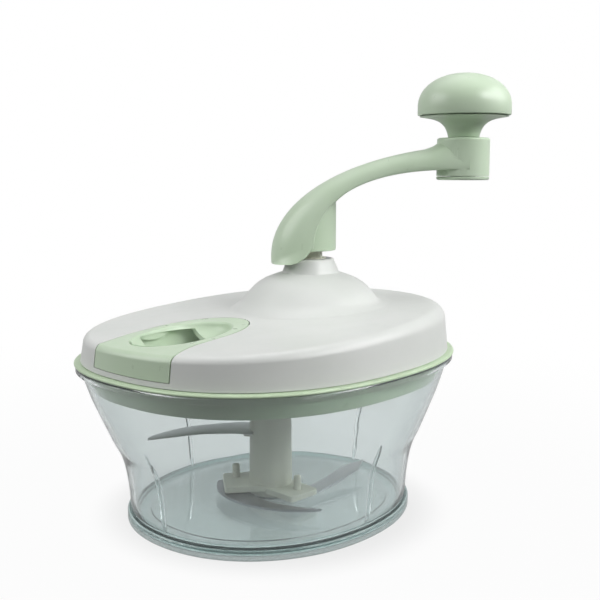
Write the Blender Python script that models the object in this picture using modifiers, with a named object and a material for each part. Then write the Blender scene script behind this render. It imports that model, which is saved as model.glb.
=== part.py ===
"""Hand-cranked food chopper, in metres with +Z up.

A clear bowl stands in a non-slip base cup. The lid is a green tray that closes the bowl, under a white
sloping cover. The crank stands off-centre on the cover; its large gear drives a small pinion on the
bowl's axis, and the spindle below the pinion turns the blade post. A green egg separator lies in a pocket
of the cover. The origin is at the centre of the base's underside, and +X runs along the bowl's long side,
from the egg separator towards the crank.
"""

import math

import bmesh
import bpy
from mathutils import Vector
from mathutils.bvhtree import BVHTree

# Fits shared by the whole part
FIT = 0.0003
RUNNING_FIT = 0.0004
CUT_OVERRUN = 0.002
MERGE = 0.00001
TURN_STEPS = 24
SMALL_TURN_STEPS = 16
PLAN_STEPS = 40
SQUARE_SHARES = ((-1.0, -1.0), (1.0, -1.0), (1.0, 1.0), (-1.0, 1.0))

# Rim: the outline that bowl lip, tray bead and cover follow
RIM_HALF_LENGTH = 0.1000
RIM_HALF_WIDTH = 0.0865
RIM_POWER = 2.31
RIM_HEIGHT = 0.0820

# Non-slip base cup
CUP_FLOOR = 0.0016
CUP_WALL = 0.0016
CUP_HEIGHT = 0.0052
CUP_EDGE = 0.0010

# Bowl
BOWL_FOOT_HALF_LENGTH = 0.0752
BOWL_FOOT_HALF_WIDTH = 0.0670
BOWL_FOOT_POWER = 2.1
BOWL_TOP_INSET = 0.0031
BOWL_WALL = 0.0024
BOWL_FLOOR = 0.0030
BOWL_FOOT_ROUND = 0.0022
FOOT_BEND_SHARE = 0.3
BOWL_LIP_INSET = 0.0006
BOWL_LIP_DROP = 0.0030
BOWL_WALL_SHARES = (
    (0.00, 0.000),
    (0.16, 0.035),
    (0.31, 0.106),
    (0.42, 0.205),
    (0.52, 0.372),
    (0.63, 0.532),
    (0.82, 0.800),
    (1.00, 1.000),
)
PIVOT_BOSS_RADIUS = 0.0075
PIVOT_BOSS_HEIGHT = 0.0018
RIB_HEIGHT = 0.0430
RIB_THICKNESS = 0.0016
RIB_DEPTH = 0.0016
RIB_STEPS = 6
RIB_ANGLES = (0.0, 90.0, 180.0, 270.0)

# Pivot pin in the bowl's floor
PIN_RADIUS = 0.0025
PIN_LENGTH = 0.0170
PIN_SEAT_DEPTH = 0.0020
PIN_POINT = 0.0008

# Green tray that closes the bowl
TRAY_THICKNESS = 0.0020
BEAD_HEIGHT = 0.0015
TRAY_TOP = RIM_HEIGHT + FIT + BEAD_HEIGHT
BEAD_EDGE = 0.0006
BEAD_WIDTH = 0.0016
SKIRT_DEPTH = 0.0110
SKIRT_WALL = 0.0020
SKIRT_CLEARANCE = 0.0004
LOCATING_LIP_HEIGHT = 0.0025
LOCATING_LIP_WALL = 0.0016
FEED_HALF_LENGTH = 0.0130
FEED_HALF_WIDTH = 0.0080
SPINDLE_BOSS_RADIUS = 0.0092
CRANK_CUP_RADIUS = 0.0075
CRANK_CUP_DEPTH = 0.0055
CRANK_CUP_FLOOR = 0.0014

# White cover
COVER_WALL = 0.0020
COVER_FOOT_INSET = 0.0030
COVER_DRAFT = 0.0015
COVER_MID_HEIGHT = 0.0202
COVER_SLOPE = 0.054
COVER_LEAN = -0.022
COVER_SMALL_EDGE = 0.0035
COVER_LARGE_EDGE = 0.0085
COVER_EDGE_STEPS = 3
DOME_FOOT_RADIUS = 0.0440
DOME_RADIUS = 0.0375
DOME_RADIUS_SHARES = (1.0, 0.88, 0.77, 0.66, 0.41)
DOME_HEIGHT = 0.0398
DOME_HEIGHT_SHARES = (0.62, 0.75, 0.85, 0.915, 1.0)
BOSS_RADIUS = 0.0128
BOSS_RISE = 0.0473
BOSS_TOP = RIM_HEIGHT + BOSS_RISE
BOSS_EDGE = 0.0012
BOSS_SLEEVE_DEPTH = 0.0150
SLEEVE_WALL = 0.0020
SCREW_PLACE_SHARES = ((0.66, 0.49), (0.66, -0.49), (-0.38, 0.69), (-0.38, -0.65))
SCREW_POST_RADIUS = 0.0040

# Screws that hold the cover on the tray
SCREW_RADIUS = 0.0015
SCREW_HEAD_RADIUS = 0.0032
SCREW_HEAD_HEIGHT = 0.0020
SCREW_LENGTH = 0.0095

# Egg separator that lies in the cover's pocket, drawn from its round tip along its own -X
SEPARATOR_TIP_X = -0.0156
SEPARATOR_TIP_Y = 0.0090
SEPARATOR_YAW = 5.5
SEPARATOR_HALF_WIDTH = 0.0244
SEPARATOR_ROUND = 0.0360
SEPARATOR_WALL = 0.0020
SEPARATOR_STEPS = 16
FLARE_START = 0.0530
FLARE_LENGTH = 0.0270
FLARE_WIDTH = 0.0080
FLARE_STEPS = 5
TAPER_WIDTH = 0.0050
POCKET_WALL = 0.0016
POCKET_FLOOR = 0.0023
WELL_HALF_LENGTH = 0.0285
WELL_HALF_WIDTH = 0.0190
WELL_FROM_TIP = 0.0400
WELL_DEPTH = 0.0096
WELL_TAPER_SHARE = 0.66
WELL_WALL = 0.0018
DRAIN_HALF_LENGTH = 0.0100
DRAIN_HALF_WIDTH = 0.0115
DRAIN_ASIDE = 0.0055
DRAIN_ROOF = 0.0025
DRAIN_PLACE_SHARE = -0.28

# Gear train
GEAR_MODULE = 0.0010
GEAR_TEETH = 48
PINION_TEETH = 16
GEAR_FACE = 0.0070
GEAR_WEB_DROP = 0.0022
GEAR_HUB_RADIUS = 0.0125
GEAR_RIM_WALL = 0.0035
PRESSURE_ANGLE = 20.0
TOOTH_TIP_CLEARANCE_SHARE = 0.25
TOOTH_BACKLASH = 0.00012
FLANK_STEPS = 3
GEAR_CENTRES = GEAR_MODULE * (GEAR_TEETH + PINION_TEETH) / 2
WASHER_THICKNESS = 0.0014
WASHER_RADIUS = 0.0090

# Crank shaft
SHAFT_SQUARE = 0.0120
SHAFT_RADIUS = 0.0085
SHAFT_FOOT_RADIUS = 0.0040
SHAFT_SQUARE_LENGTH = 0.0215
BUSH_WALL = 0.0022

# Blade spindle
SPINDLE_RADIUS = 0.0050
SPINDLE_FLATS = 0.0080
SPINDLE_STUB_FLATS = 0.0060
SPINDLE_DRIVE_LENGTH = 0.0110
SPINDLE_BUSH_WALL = 0.0017
SPINDLE_BUSH_RISE = 0.0012
SPINDLE_CLIP_THICKNESS = 0.0010

# Crank arm, drawn along its own +X from the crank axis
CRANK_ANGLE = -53.5
CRANK_RADIUS = 0.0803
ARM_WALL = 0.0022
ARM_BACK_CURVE = ((-0.0212, -0.0021), (-0.0240, 0.0287), (0.0150, 0.0547), (0.0765, 0.0597))
ARM_EDGE_CURVE = ((0.0030, 0.0067), (0.0040, 0.0307), (0.0260, 0.0477), (0.0765, 0.0471))
ARM_HALF_WIDTHS = (0.0178, 0.0178, 0.0090, 0.0132)
ARM_FOOT_BACKS = ((-0.0204, -0.0025), (-0.0211, -0.0017))
ARM_FOOT_EDGES = ((-0.0080, -0.0021), (-0.0015, 0.0013))
ARM_STATIONS = 11
ARM_SECTION_STEPS = 10
ARM_POWER = 2.3
BARREL_RADIUS = 0.0137
BARREL_GAP = 0.0044
BARREL_BOTTOM = BOSS_TOP + BARREL_GAP
BARREL_TOP_SHARES = (1.0, 0.8, 0.6, 0.4, 0.2)
SOCKET_DEPTH = 0.0180
HUB_RADIUS = 0.0138
HUB_RISE = 0.0440
HUB_LENGTH = 0.0197
HUB_BOTTOM = BOSS_TOP + HUB_RISE
HUB_TOP = HUB_BOTTOM + HUB_LENGTH
HUB_EDGE = 0.0012
HUB_FLOOR_HEIGHT = 0.0050

# Knob and its pin
KNOB_PIN_RADIUS = 0.0030
KNOB_PIN_HEAD_RADIUS = 0.0065
KNOB_PIN_HEAD_HEIGHT = 0.0022
KNOB_NECK_RADIUS = 0.0081
KNOB_RADIUS = 0.0243
KNOB_STEM_HEIGHT = 0.0115
KNOB_DOME_HEIGHT = 0.0217
KNOB_RIM = HUB_TOP + KNOB_STEM_HEIGHT
KNOB_TOP = KNOB_RIM + KNOB_DOME_HEIGHT
KNOB_WALL = 0.0022
KNOB_PLATE = 0.0024
KNOB_FLARE_SHARES = ((0.0, 0.0), (0.04, 0.30), (0.17, 0.62), (0.42, 0.80), (0.85, 0.90), (1.0, 0.97))
KNOB_DOME_SHARES = ((1.00, 0.00), (1.00, 0.22), (0.95, 0.46), (0.76, 0.75), (0.50, 0.92), (0.25, 1.00))
HUB_PLUG_HEIGHT = 0.0016
CLIP_RADIUS = 0.0055
CLIP_THICKNESS = 0.0010

# Blade post
POST_DROP = 0.0055
POST_TOP = RIM_HEIGHT - POST_DROP
POST_RADIUS = 0.0098
POST_TOP_RADIUS = 0.0094
POST_GAP = 0.0006
POST_EDGE = 0.0014
COLLAR_RADIUS = 0.0126
COLLAR_HEIGHT = 0.0062
PLATE_THICKNESS = 0.0034
PLATE_EDGE = 0.0010
LEFT_PLATE_ANGLE = 140.0
LEFT_PLATE_REACH = 0.0250
LEFT_PLATE_WIDTH = 0.0220
LEFT_PLATE_BOTTOM = 0.0112
RIGHT_PLATE_ANGLE = -94.0
RIGHT_PLATE_REACH = 0.0260
RIGHT_PLATE_WIDTH = 0.0190
RIGHT_PLATE_BOTTOM = 0.0098
PEG_RADIUS = 0.0020
PEG_HEIGHT = 0.0070
PEG_REACH = 0.0188
LEFT_PEG_ANGLE = 125.0
RIGHT_PEG_ANGLE = -89.0

# Blades
BLADE_THICKNESS = 0.0012
BLADE_EDGE_THICKNESS = 0.0003
UPPER_BLADE_HEIGHT = 0.0400
UPPER_BLADE_ROOT = 0.0082
UPPER_BLADE_TIP = 0.0645
UPPER_BLADE_ANGLE = 118.0
UPPER_BLADE_SWEEP = 30.0
UPPER_BLADE_WIDTH = 0.0215
BLADE_SLOT_ROOM = 0.0016
CRESCENT_ROOT = 0.0200
CRESCENT_TIP = 0.0440
CRESCENT_ANGLE = 118.0
CRESCENT_SWEEP = 140.0
CRESCENT_WIDTH = 0.0185
SERRATED_ROOT = (-0.0060, -0.0190)
SERRATED_TIP = (0.0590, -0.0165)
SERRATED_WIDTH = 0.0095
SERRATED_RISE = 0.0040
TOOTH_DEPTH = 0.0007
TOOTH_SHARES = (0.3, 0.84)
SERRATED_BEND_SHARE = 0.3
SERRATED_TAPER = 6.0
SERRATED_STEPS = 28
BLADE_STEPS = 16
TIP_WIDTH = 0.0006

PIECES = "manual_food_chopper"
CUTTERS = "cutters"


def clear_scene():
    for obj in list(bpy.data.objects):
        bpy.data.objects.remove(obj, do_unlink=True)
    for name in (PIECES, CUTTERS):
        collection = bpy.data.collections.new(name)
        bpy.context.scene.collection.children.link(collection)


def material(name, colour, roughness, metallic=0.0, alpha=1.0):
    finish = bpy.data.materials.get(name)
    if finish is None:
        finish = bpy.data.materials.new(name)
        finish.use_nodes = True
        shader = finish.node_tree.nodes["Principled BSDF"]
        shader.inputs["Base Color"].default_value = (*colour, 1.0)
        shader.inputs["Roughness"].default_value = roughness
        shader.inputs["Metallic"].default_value = metallic
        shader.inputs["Alpha"].default_value = alpha
    return finish


def green_plastic():
    return material("green_plastic", (0.56, 0.72, 0.53), 0.35)


def white_plastic():
    return material("white_plastic", (0.80, 0.82, 0.78), 0.35)


def ivory_plastic():
    return material("ivory_plastic", (0.78, 0.78, 0.68), 0.40)


def clear_plastic():
    return material("clear_plastic", (0.80, 0.88, 0.88), 0.08, alpha=0.35)


def clear_rubber():
    return material("clear_rubber", (0.62, 0.76, 0.76), 0.30, alpha=0.55)


def blade_steel():
    return material("blade_steel", (0.55, 0.56, 0.58), 0.25, metallic=1.0)


def pin_steel():
    return material("pin_steel", (0.50, 0.50, 0.52), 0.35, metallic=1.0)


def empty(name, place, turn=0.0, parent=None):
    frame = bpy.data.objects.new(name, None)
    frame.location = place
    frame.rotation_euler = (0.0, 0.0, math.radians(turn))
    frame.parent = parent
    bpy.data.collections[PIECES].objects.link(frame)
    return frame


def add_object(name, mesh, finish, parent=None):
    """A piece with a material, or a cutter where the finish is None."""
    obj = bpy.data.objects.new(name, mesh)
    obj.parent = parent
    if finish is None:
        bpy.data.collections[CUTTERS].objects.link(obj)
        obj.hide_render = True
        obj.display_type = "WIRE"
    else:
        bpy.data.collections[PIECES].objects.link(obj)
        mesh.materials.append(finish)
    return obj


def finish_mesh(name, shape):
    bmesh.ops.recalc_face_normals(shape, faces=shape.faces)
    mesh = bpy.data.meshes.new(name)
    shape.to_mesh(mesh)
    shape.free()
    mesh.shade_smooth()
    mesh.set_sharp_from_angle(angle=math.radians(35))
    return mesh


def combine(obj, operation, others):
    for other in others:
        step = obj.modifiers.new(operation.title(), "BOOLEAN")
        step.operation = operation
        step.solver = "EXACT"
        step.object = other


def cut(obj, *others):
    combine(obj, "DIFFERENCE", others)


def join(obj, *others):
    combine(obj, "UNION", others)


def keep_inside(obj, *others):
    combine(obj, "INTERSECT", others)


def turned(name, profile, finish, parent=None, steps=TURN_STEPS):
    """A turned piece. Its profile runs down the outer side, and closes on itself unless it ends on the axis."""
    points = [(radius, 0.0, height) for radius, height in profile]
    edges = [(step, step + 1) for step in range(len(points) - 1)]
    if profile[0][0] > 0 and profile[-1][0] > 0:
        edges.append((len(points) - 1, 0))
    mesh = bpy.data.meshes.new(name)
    mesh.from_pydata(points, edges, [])
    obj = add_object(name, mesh, finish, parent)
    screw = obj.modifiers.new("Turn", "SCREW")
    screw.steps = steps
    screw.render_steps = steps
    screw.use_merge_vertices = True
    screw.merge_threshold = MERGE
    screw.use_smooth_shade = True
    return obj


def rod(name, radius, low, high, finish, parent=None, steps=SMALL_TURN_STEPS):
    shape = bmesh.new()
    bmesh.ops.create_cone(
        shape, cap_ends=True, segments=steps, radius1=radius, radius2=radius, depth=high - low
    )
    bmesh.ops.translate(shape, verts=shape.verts, vec=(0.0, 0.0, (low + high) / 2))
    return add_object(name, finish_mesh(name, shape), finish, parent)


def ring_piece(name, inner, outer, low, high, finish, parent=None, steps=TURN_STEPS):
    profile = ((inner, high), (outer, high), (outer, low), (inner, low))
    return turned(name, profile, finish, parent, steps)


def loft(name, rings, finish, parent=None, tube=False):
    """Skins rings of equal count. The ends are capped, or a tube's last ring runs on into its first."""
    shape = bmesh.new()
    layers = [[shape.verts.new(point) for point in ring] for ring in rings]
    pairs = list(zip(layers, layers[1:]))
    if tube:
        pairs.append((layers[-1], layers[0]))
    count = len(layers[0])
    for lower, upper in pairs:
        for step in range(count):
            after = (step + 1) % count
            shape.faces.new((lower[step], lower[after], upper[after], upper[step]))
    if not tube:
        shape.faces.new(reversed(layers[0]))
        shape.faces.new(layers[-1])
    return add_object(name, finish_mesh(name, shape), finish, parent)


def prism(name, outline, low, high, finish, parent=None):
    """A flat outline, raised from one height to another."""
    shape = bmesh.new()
    face = shape.faces.new([shape.verts.new((x, y, low)) for x, y in outline])
    raised = bmesh.ops.extrude_face_region(shape, geom=[face])["geom"]
    top = [part for part in raised if isinstance(part, bmesh.types.BMVert)]
    bmesh.ops.translate(shape, verts=top, vec=(0.0, 0.0, high - low))
    return add_object(name, finish_mesh(name, shape), finish, parent)


def superellipse(turn, half_length, half_width, power):
    across, along = math.cos(turn), math.sin(turn)
    x = half_length * math.copysign(abs(across) ** (2 / power), across)
    y = half_width * math.copysign(abs(along) ** (2 / power), along)
    return x, y


def plan_turns(count=PLAN_STEPS):
    return [math.tau * step / count for step in range(count)]


def circle_ring(radius, height, centre_x=0.0, count=PLAN_STEPS):
    return [
        Vector((centre_x + radius * math.cos(turn), radius * math.sin(turn), height))
        for turn in plan_turns(count)
    ]


def polygon_ring(sides, flats, height, count):
    """A regular polygon with a flat facing +X, given by the width across its flats."""
    ring = []
    for turn in plan_turns(count):
        sector = math.tau / sides
        off_flat = (turn + sector / 2) % sector - sector / 2
        radius = flats / 2 / math.cos(off_flat)
        ring.append(Vector((radius * math.cos(turn), radius * math.sin(turn), height)))
    return ring


def rim_ring(inset, height):
    ring = []
    for turn in plan_turns():
        x, y = superellipse(turn, RIM_HALF_LENGTH - inset, RIM_HALF_WIDTH - inset, RIM_POWER)
        ring.append(Vector((x, y, height)))
    return ring


def interpolate(shares, share):
    for (low, first), (high, second) in zip(shares, shares[1:]):
        if share <= high:
            return first + (second - first) * (share - low) / (high - low)
    return shares[-1][1]


def bowl_bottom():
    return CUP_FLOOR + FIT


def bowl_wall_foot():
    return bowl_bottom() + BOWL_FOOT_ROUND


def bowl_wall_top():
    return RIM_HEIGHT - BOWL_LIP_DROP


def bowl_sizes(height, inset):
    """Half length, half width and power of the bowl's outer wall at a height, drawn in by an inset."""
    share = (height - bowl_wall_foot()) / (bowl_wall_top() - bowl_wall_foot())
    flare = interpolate(BOWL_WALL_SHARES, min(max(share, 0.0), 1.0))
    length = RIM_HALF_LENGTH - BOWL_TOP_INSET
    width = RIM_HALF_WIDTH - BOWL_TOP_INSET
    length = BOWL_FOOT_HALF_LENGTH + (length - BOWL_FOOT_HALF_LENGTH) * flare
    width = BOWL_FOOT_HALF_WIDTH + (width - BOWL_FOOT_HALF_WIDTH) * flare
    power = BOWL_FOOT_POWER + (RIM_POWER - BOWL_FOOT_POWER) * flare
    return length - inset, width - inset, power


def bowl_ring(height, inset=0.0, at_height=None):
    """The bowl's outline at one height, drawn at that height or at another."""
    level = height if at_height is None else at_height
    sizes = bowl_sizes(height, inset)
    return [Vector((*superellipse(turn, *sizes), level)) for turn in plan_turns()]


def build_base():
    """A shallow cup of clear rubber that the bowl stands in."""
    outer = -(FIT + CUP_WALL)
    foot = bowl_wall_foot()
    rings = [
        bowl_ring(foot, outer + CUP_EDGE, 0.0),
        bowl_ring(foot, outer, CUP_EDGE),
        bowl_ring(foot, outer, CUP_HEIGHT - CUP_EDGE / 2),
        bowl_ring(foot, outer + CUP_EDGE / 2, CUP_HEIGHT),
        bowl_ring(foot, -FIT, CUP_HEIGHT),
        bowl_ring(foot, -FIT, CUP_FLOOR),
    ]
    return loft("non_slip_base", rings, clear_rubber())


def rib_cutout(angle):
    """One rib on the bowl's inner wall, which fades out at the waist."""
    along_x = abs(math.cos(math.radians(angle))) > abs(math.sin(math.radians(angle)))
    low = bowl_bottom() + BOWL_FLOOR / 2
    outline = []
    inside = []
    for step in range(RIB_STEPS + 1):
        share = step / RIB_STEPS
        height = low + (RIB_HEIGHT - low) * share
        length, width, _ = bowl_sizes(height, BOWL_WALL)
        radius = length if along_x else width
        outline.append((radius + BOWL_WALL / 2, height))
        inside.append((radius - RIB_DEPTH * math.sqrt(1 - share ** 2) + BOWL_WALL / 4 * share, height))
    outline += reversed(inside)
    half = RIB_THICKNESS / 2
    rings = [[Vector((radius, side, height)) for radius, height in outline] for side in (-half, half)]
    rib = loft(f"rib_{angle:.0f}", rings, None)
    rib.rotation_euler = (0.0, 0.0, math.radians(angle))
    return rib


def build_bowl():
    """The clear bowl: round foot, steep lower wall, flared upper wall, lip and a boss for the pivot pin."""
    bottom = bowl_bottom()
    foot = bowl_wall_foot()
    top = bowl_wall_top()
    floor = bottom + BOWL_FLOOR
    outer_heights = [foot + (top - foot) * share for share, _ in BOWL_WALL_SHARES]
    inner_heights = [height for height in outer_heights if height > floor + BOWL_WALL]
    rings = [bowl_ring(foot, BOWL_FOOT_ROUND, bottom)]
    rings += [bowl_ring(foot, BOWL_FOOT_ROUND * FOOT_BEND_SHARE, bottom + BOWL_FOOT_ROUND * FOOT_BEND_SHARE)]
    rings += [bowl_ring(height) for height in outer_heights]
    rings += [rim_ring(BOWL_LIP_INSET, top), rim_ring(BOWL_LIP_INSET, RIM_HEIGHT)]
    rings += [bowl_ring(top, BOWL_WALL, RIM_HEIGHT)]
    rings += [bowl_ring(height, BOWL_WALL) for height in reversed(inner_heights)]
    rings += [bowl_ring(foot, BOWL_WALL, floor + BOWL_WALL), bowl_ring(foot, BOWL_WALL * 2, floor)]
    boss_top = floor + PIVOT_BOSS_HEIGHT
    seat = PIN_RADIUS + FIT
    rings += [circle_ring(PIVOT_BOSS_RADIUS, floor), circle_ring(PIVOT_BOSS_RADIUS, boss_top)]
    rings += [circle_ring(seat, boss_top), circle_ring(seat, floor - PIN_SEAT_DEPTH)]
    bowl = loft("bowl", rings, clear_plastic())
    join(bowl, *[rib_cutout(angle) for angle in RIB_ANGLES])
    return bowl


def pin_foot():
    return bowl_bottom() + BOWL_FLOOR - PIN_SEAT_DEPTH + FIT


def build_pivot_pin(parent):
    low = pin_foot()
    high = low + PIN_LENGTH
    profile = (
        (0.0, high), (PIN_RADIUS - PIN_POINT, high), (PIN_RADIUS, high - PIN_POINT),
        (PIN_RADIUS, low), (0.0, low),
    )
    return turned("pivot_pin", profile, pin_steel(), parent, SMALL_TURN_STEPS)


def cover_plane(x, y, drop=0.0):
    return RIM_HEIGHT + COVER_MID_HEIGHT + COVER_SLOPE * x + COVER_LEAN * y - drop


def cover_foot():
    return TRAY_TOP + FIT


def spindle_boss_bottom():
    return POST_TOP + POST_GAP * 2


def build_tray():
    """The green tray: bead on the bowl's lip, skirt inside it, bearings, feed opening and locating lip."""
    underside = TRAY_TOP - TRAY_THICKNESS
    seat = RIM_HEIGHT + FIT
    skirt = BOWL_WALL + SKIRT_CLEARANCE
    bottom = RIM_HEIGHT - SKIRT_DEPTH
    middle = (seat + TRAY_TOP) / 2
    lip = COVER_FOOT_INSET + COVER_WALL + FIT
    top = bowl_wall_top()
    rings = [
        bowl_ring(top, skirt + SKIRT_WALL, underside),
        bowl_ring(bottom, skirt + SKIRT_WALL + FIT, bottom),
        bowl_ring(bottom, skirt + FIT, bottom),
        bowl_ring(top, skirt, seat),
        rim_ring(BEAD_EDGE, seat),
        rim_ring(0.0, seat + BEAD_EDGE),
        rim_ring(0.0, middle),
        rim_ring(BEAD_EDGE, TRAY_TOP - BEAD_EDGE / 2),
        rim_ring(BEAD_WIDTH, TRAY_TOP),
        rim_ring(lip, TRAY_TOP),
        rim_ring(lip + COVER_DRAFT / 2, TRAY_TOP + LOCATING_LIP_HEIGHT),
        rim_ring(lip + LOCATING_LIP_WALL, TRAY_TOP + LOCATING_LIP_HEIGHT),
        rim_ring(lip + LOCATING_LIP_WALL, TRAY_TOP),
    ]
    tray = loft("under_lid", rings, green_plastic())
    inside = underside + TRAY_THICKNESS / 2
    boss = rod("spindle_boss", SPINDLE_BOSS_RADIUS, spindle_boss_bottom(), inside, None, None, TURN_STEPS)
    join(tray, boss)
    cup = rod("crank_cup", CRANK_CUP_RADIUS, underside - CRANK_CUP_DEPTH, inside, None, None, TURN_STEPS)
    cup.location.x = GEAR_CENTRES
    join(tray, cup)
    bore = rod("spindle_bore", spindle_bush_radius() + FIT, spindle_boss_bottom() - CUT_OVERRUN,
               TRAY_TOP + CUT_OVERRUN, None, None, TURN_STEPS)
    cup_bore = rod("crank_cup_bore", SHAFT_FOOT_RADIUS + FIT, crank_cup_floor(), TRAY_TOP + CUT_OVERRUN, None)
    cup_bore.location.x = GEAR_CENTRES
    feed = feed_cutter("tray_feed", underside - CUT_OVERRUN, TRAY_TOP + CUT_OVERRUN)
    gap_outline = separator_outline(POCKET_WALL + 2 * FIT)
    gap = put_in_pocket(prism("lip_gap", gap_outline, TRAY_TOP, 2 * RIM_HEIGHT, None))
    cut(tray, bore, cup_bore, feed, gap)
    for place, (x, y) in enumerate(screw_places()):
        hole = rod(f"tray_screw_hole_{place + 1}", SCREW_RADIUS + FIT, underside - CUT_OVERRUN,
                   TRAY_TOP + CUT_OVERRUN, None)
        hole.location = (x, y, 0.0)
        cut(tray, hole)
    return tray


def crank_cup_floor():
    return TRAY_TOP - TRAY_THICKNESS - CRANK_CUP_DEPTH + CRANK_CUP_FLOOR


def cover_edge_ring(inset, bend, drop):
    """A ring of the cover's top edge: bend runs from 0 at the wall to 90 at the top surface."""
    ring = []
    for turn in plan_turns():
        share = (1 + math.cos(turn)) / 2
        edge = COVER_SMALL_EDGE + (COVER_LARGE_EDGE - COVER_SMALL_EDGE) * share
        angle = math.radians(bend)
        deep = inset + edge * (1 - math.cos(angle))
        x, y = superellipse(turn, RIM_HALF_LENGTH - deep, RIM_HALF_WIDTH - deep, RIM_POWER)
        ring.append(Vector((x, y, cover_plane(x, y, drop) - edge * (1 - math.sin(angle)))))
    return ring


def cover_rings(inset, drop, foot):
    """The cover's wall and rounded top edge, drawn in by an inset and lowered by a drop."""
    rings = [rim_ring(COVER_FOOT_INSET + inset, foot)]
    for step in range(COVER_EDGE_STEPS + 1):
        bend = 90 * step / COVER_EDGE_STEPS
        rings.append(cover_edge_ring(COVER_FOOT_INSET + COVER_DRAFT + inset, bend, drop))
    return rings


def dome_foot_ring(radius, drop):
    ring = circle_ring(radius, 0.0, GEAR_CENTRES)
    return [Vector((point.x, point.y, cover_plane(point.x, point.y, drop))) for point in ring]


def dome_rings(inset, drop):
    rings = [dome_foot_ring(DOME_FOOT_RADIUS - inset, drop)]
    for out, up in zip(DOME_RADIUS_SHARES, DOME_HEIGHT_SHARES):
        rings.append(circle_ring(DOME_RADIUS * out - inset, RIM_HEIGHT + DOME_HEIGHT * up - drop, GEAR_CENTRES))
    return rings


def cover_bore():
    return SHAFT_RADIUS + RUNNING_FIT + BUSH_WALL + FIT


def separator_outline(grow):
    """The pocket's outline from its round tip at the origin to beyond the rim, where one side flares out."""
    half = SEPARATOR_HALF_WIDTH + grow
    length = SEPARATOR_ROUND + grow
    outline = [(-RIM_HALF_LENGTH, -half - FLARE_WIDTH)]
    for step in range(FLARE_STEPS, -1, -1):
        share = step / FLARE_STEPS
        outline.append((-FLARE_START - FLARE_LENGTH * share, -half - FLARE_WIDTH * share ** 2))
    for step in range(SEPARATOR_STEPS + 1):
        turn = math.pi * (step / SEPARATOR_STEPS - 0.5)
        outline.append((length * math.cos(turn) - SEPARATOR_ROUND, half * math.sin(turn)))
    outline.append((-FLARE_START, half))
    outline.append((-RIM_HALF_LENGTH, half - TAPER_WIDTH))
    return outline


def put_in_pocket(obj, from_tip=0.0, aside=0.0):
    """Turns a piece drawn from the separator's tip, or from a place behind and beside it, to where it belongs."""
    turn = math.radians(SEPARATOR_YAW)
    x = SEPARATOR_TIP_X - from_tip * math.cos(turn) - aside * math.sin(turn)
    y = SEPARATOR_TIP_Y - from_tip * math.sin(turn) + aside * math.cos(turn)
    obj.location = (x, y, 0.0)
    obj.rotation_euler = (0.0, 0.0, turn)
    return obj


def drain_from_tip():
    return WELL_FROM_TIP - WELL_HALF_LENGTH * DRAIN_PLACE_SHARE


def well_top():
    turn = math.radians(SEPARATOR_YAW)
    x = SEPARATOR_TIP_X - WELL_FROM_TIP * math.cos(turn)
    return cover_plane(x, SEPARATOR_TIP_Y - WELL_FROM_TIP * math.sin(turn))


def feed_cutter(name, low, high):
    """The opening through which egg white drains into the bowl."""
    outline = [(FEED_HALF_LENGTH * along, FEED_HALF_WIDTH * across) for along, across in SQUARE_SHARES]
    return put_in_pocket(prism(name, outline, low, high, None), drain_from_tip())


def screw_places():
    return [(RIM_HALF_LENGTH * along, RIM_HALF_WIDTH * across) for along, across in SCREW_PLACE_SHARES]


def build_cover():
    """The white cover: sloped top, dome, boss with a bush sleeve, screw posts, and the separator's pocket."""
    foot = cover_foot()
    bore = cover_bore()
    rings = cover_rings(0.0, 0.0, foot) + dome_rings(0.0, 0.0)
    rings.append(circle_ring(BOSS_RADIUS, BOSS_TOP - BOSS_EDGE, GEAR_CENTRES))
    rings.append(circle_ring(BOSS_RADIUS - BOSS_EDGE, BOSS_TOP, GEAR_CENTRES))
    sleeve_bottom = BOSS_TOP - BOSS_SLEEVE_DEPTH
    sleeve = bore + SLEEVE_WALL
    rings.append(circle_ring(bore, BOSS_TOP, GEAR_CENTRES))
    rings.append(circle_ring(bore, sleeve_bottom, GEAR_CENTRES))
    rings.append(circle_ring(sleeve, sleeve_bottom, GEAR_CENTRES))
    inner_dome = dome_rings(COVER_WALL, COVER_WALL)
    rings.append(circle_ring(sleeve, inner_dome[-1][0].z, GEAR_CENTRES))
    rings += reversed(inner_dome[:-1])
    rings += reversed(cover_rings(COVER_WALL, COVER_WALL, foot))
    cover = loft("lid_cover", rings, white_plastic(), tube=True)
    shell = loft("cover_outside", cover_rings(COVER_WALL / 2, COVER_WALL / 2, foot), None)
    lining = prism("pocket_lining", separator_outline(FIT + POCKET_WALL), foot, 2 * RIM_HEIGHT, None)
    lining = put_in_pocket(lining)
    keep_inside(lining, shell)
    join(cover, lining)
    for place, (x, y) in enumerate(screw_places()):
        post = rod(f"screw_post_{place + 1}", SCREW_POST_RADIUS, foot, cover_plane(x, y, COVER_WALL / 2), None)
        post.location = (x, y, 0.0)
        join(cover, post)
        hole = rod(f"screw_post_hole_{place + 1}", SCREW_RADIUS + FIT, foot - CUT_OVERRUN,
                   screw_top() + FIT, None)
        hole.location = (x, y, 0.0)
        cut(cover, hole)
    pocket = put_in_pocket(prism("pocket", separator_outline(FIT), foot + POCKET_FLOOR, 2 * RIM_HEIGHT, None))
    cut(cover, pocket, feed_cutter("cover_feed", foot - CUT_OVERRUN, foot + 2 * POCKET_FLOOR))
    return cover


def screw_seat():
    return TRAY_TOP - TRAY_THICKNESS - FIT


def screw_top():
    return screw_seat() + SCREW_LENGTH


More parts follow.
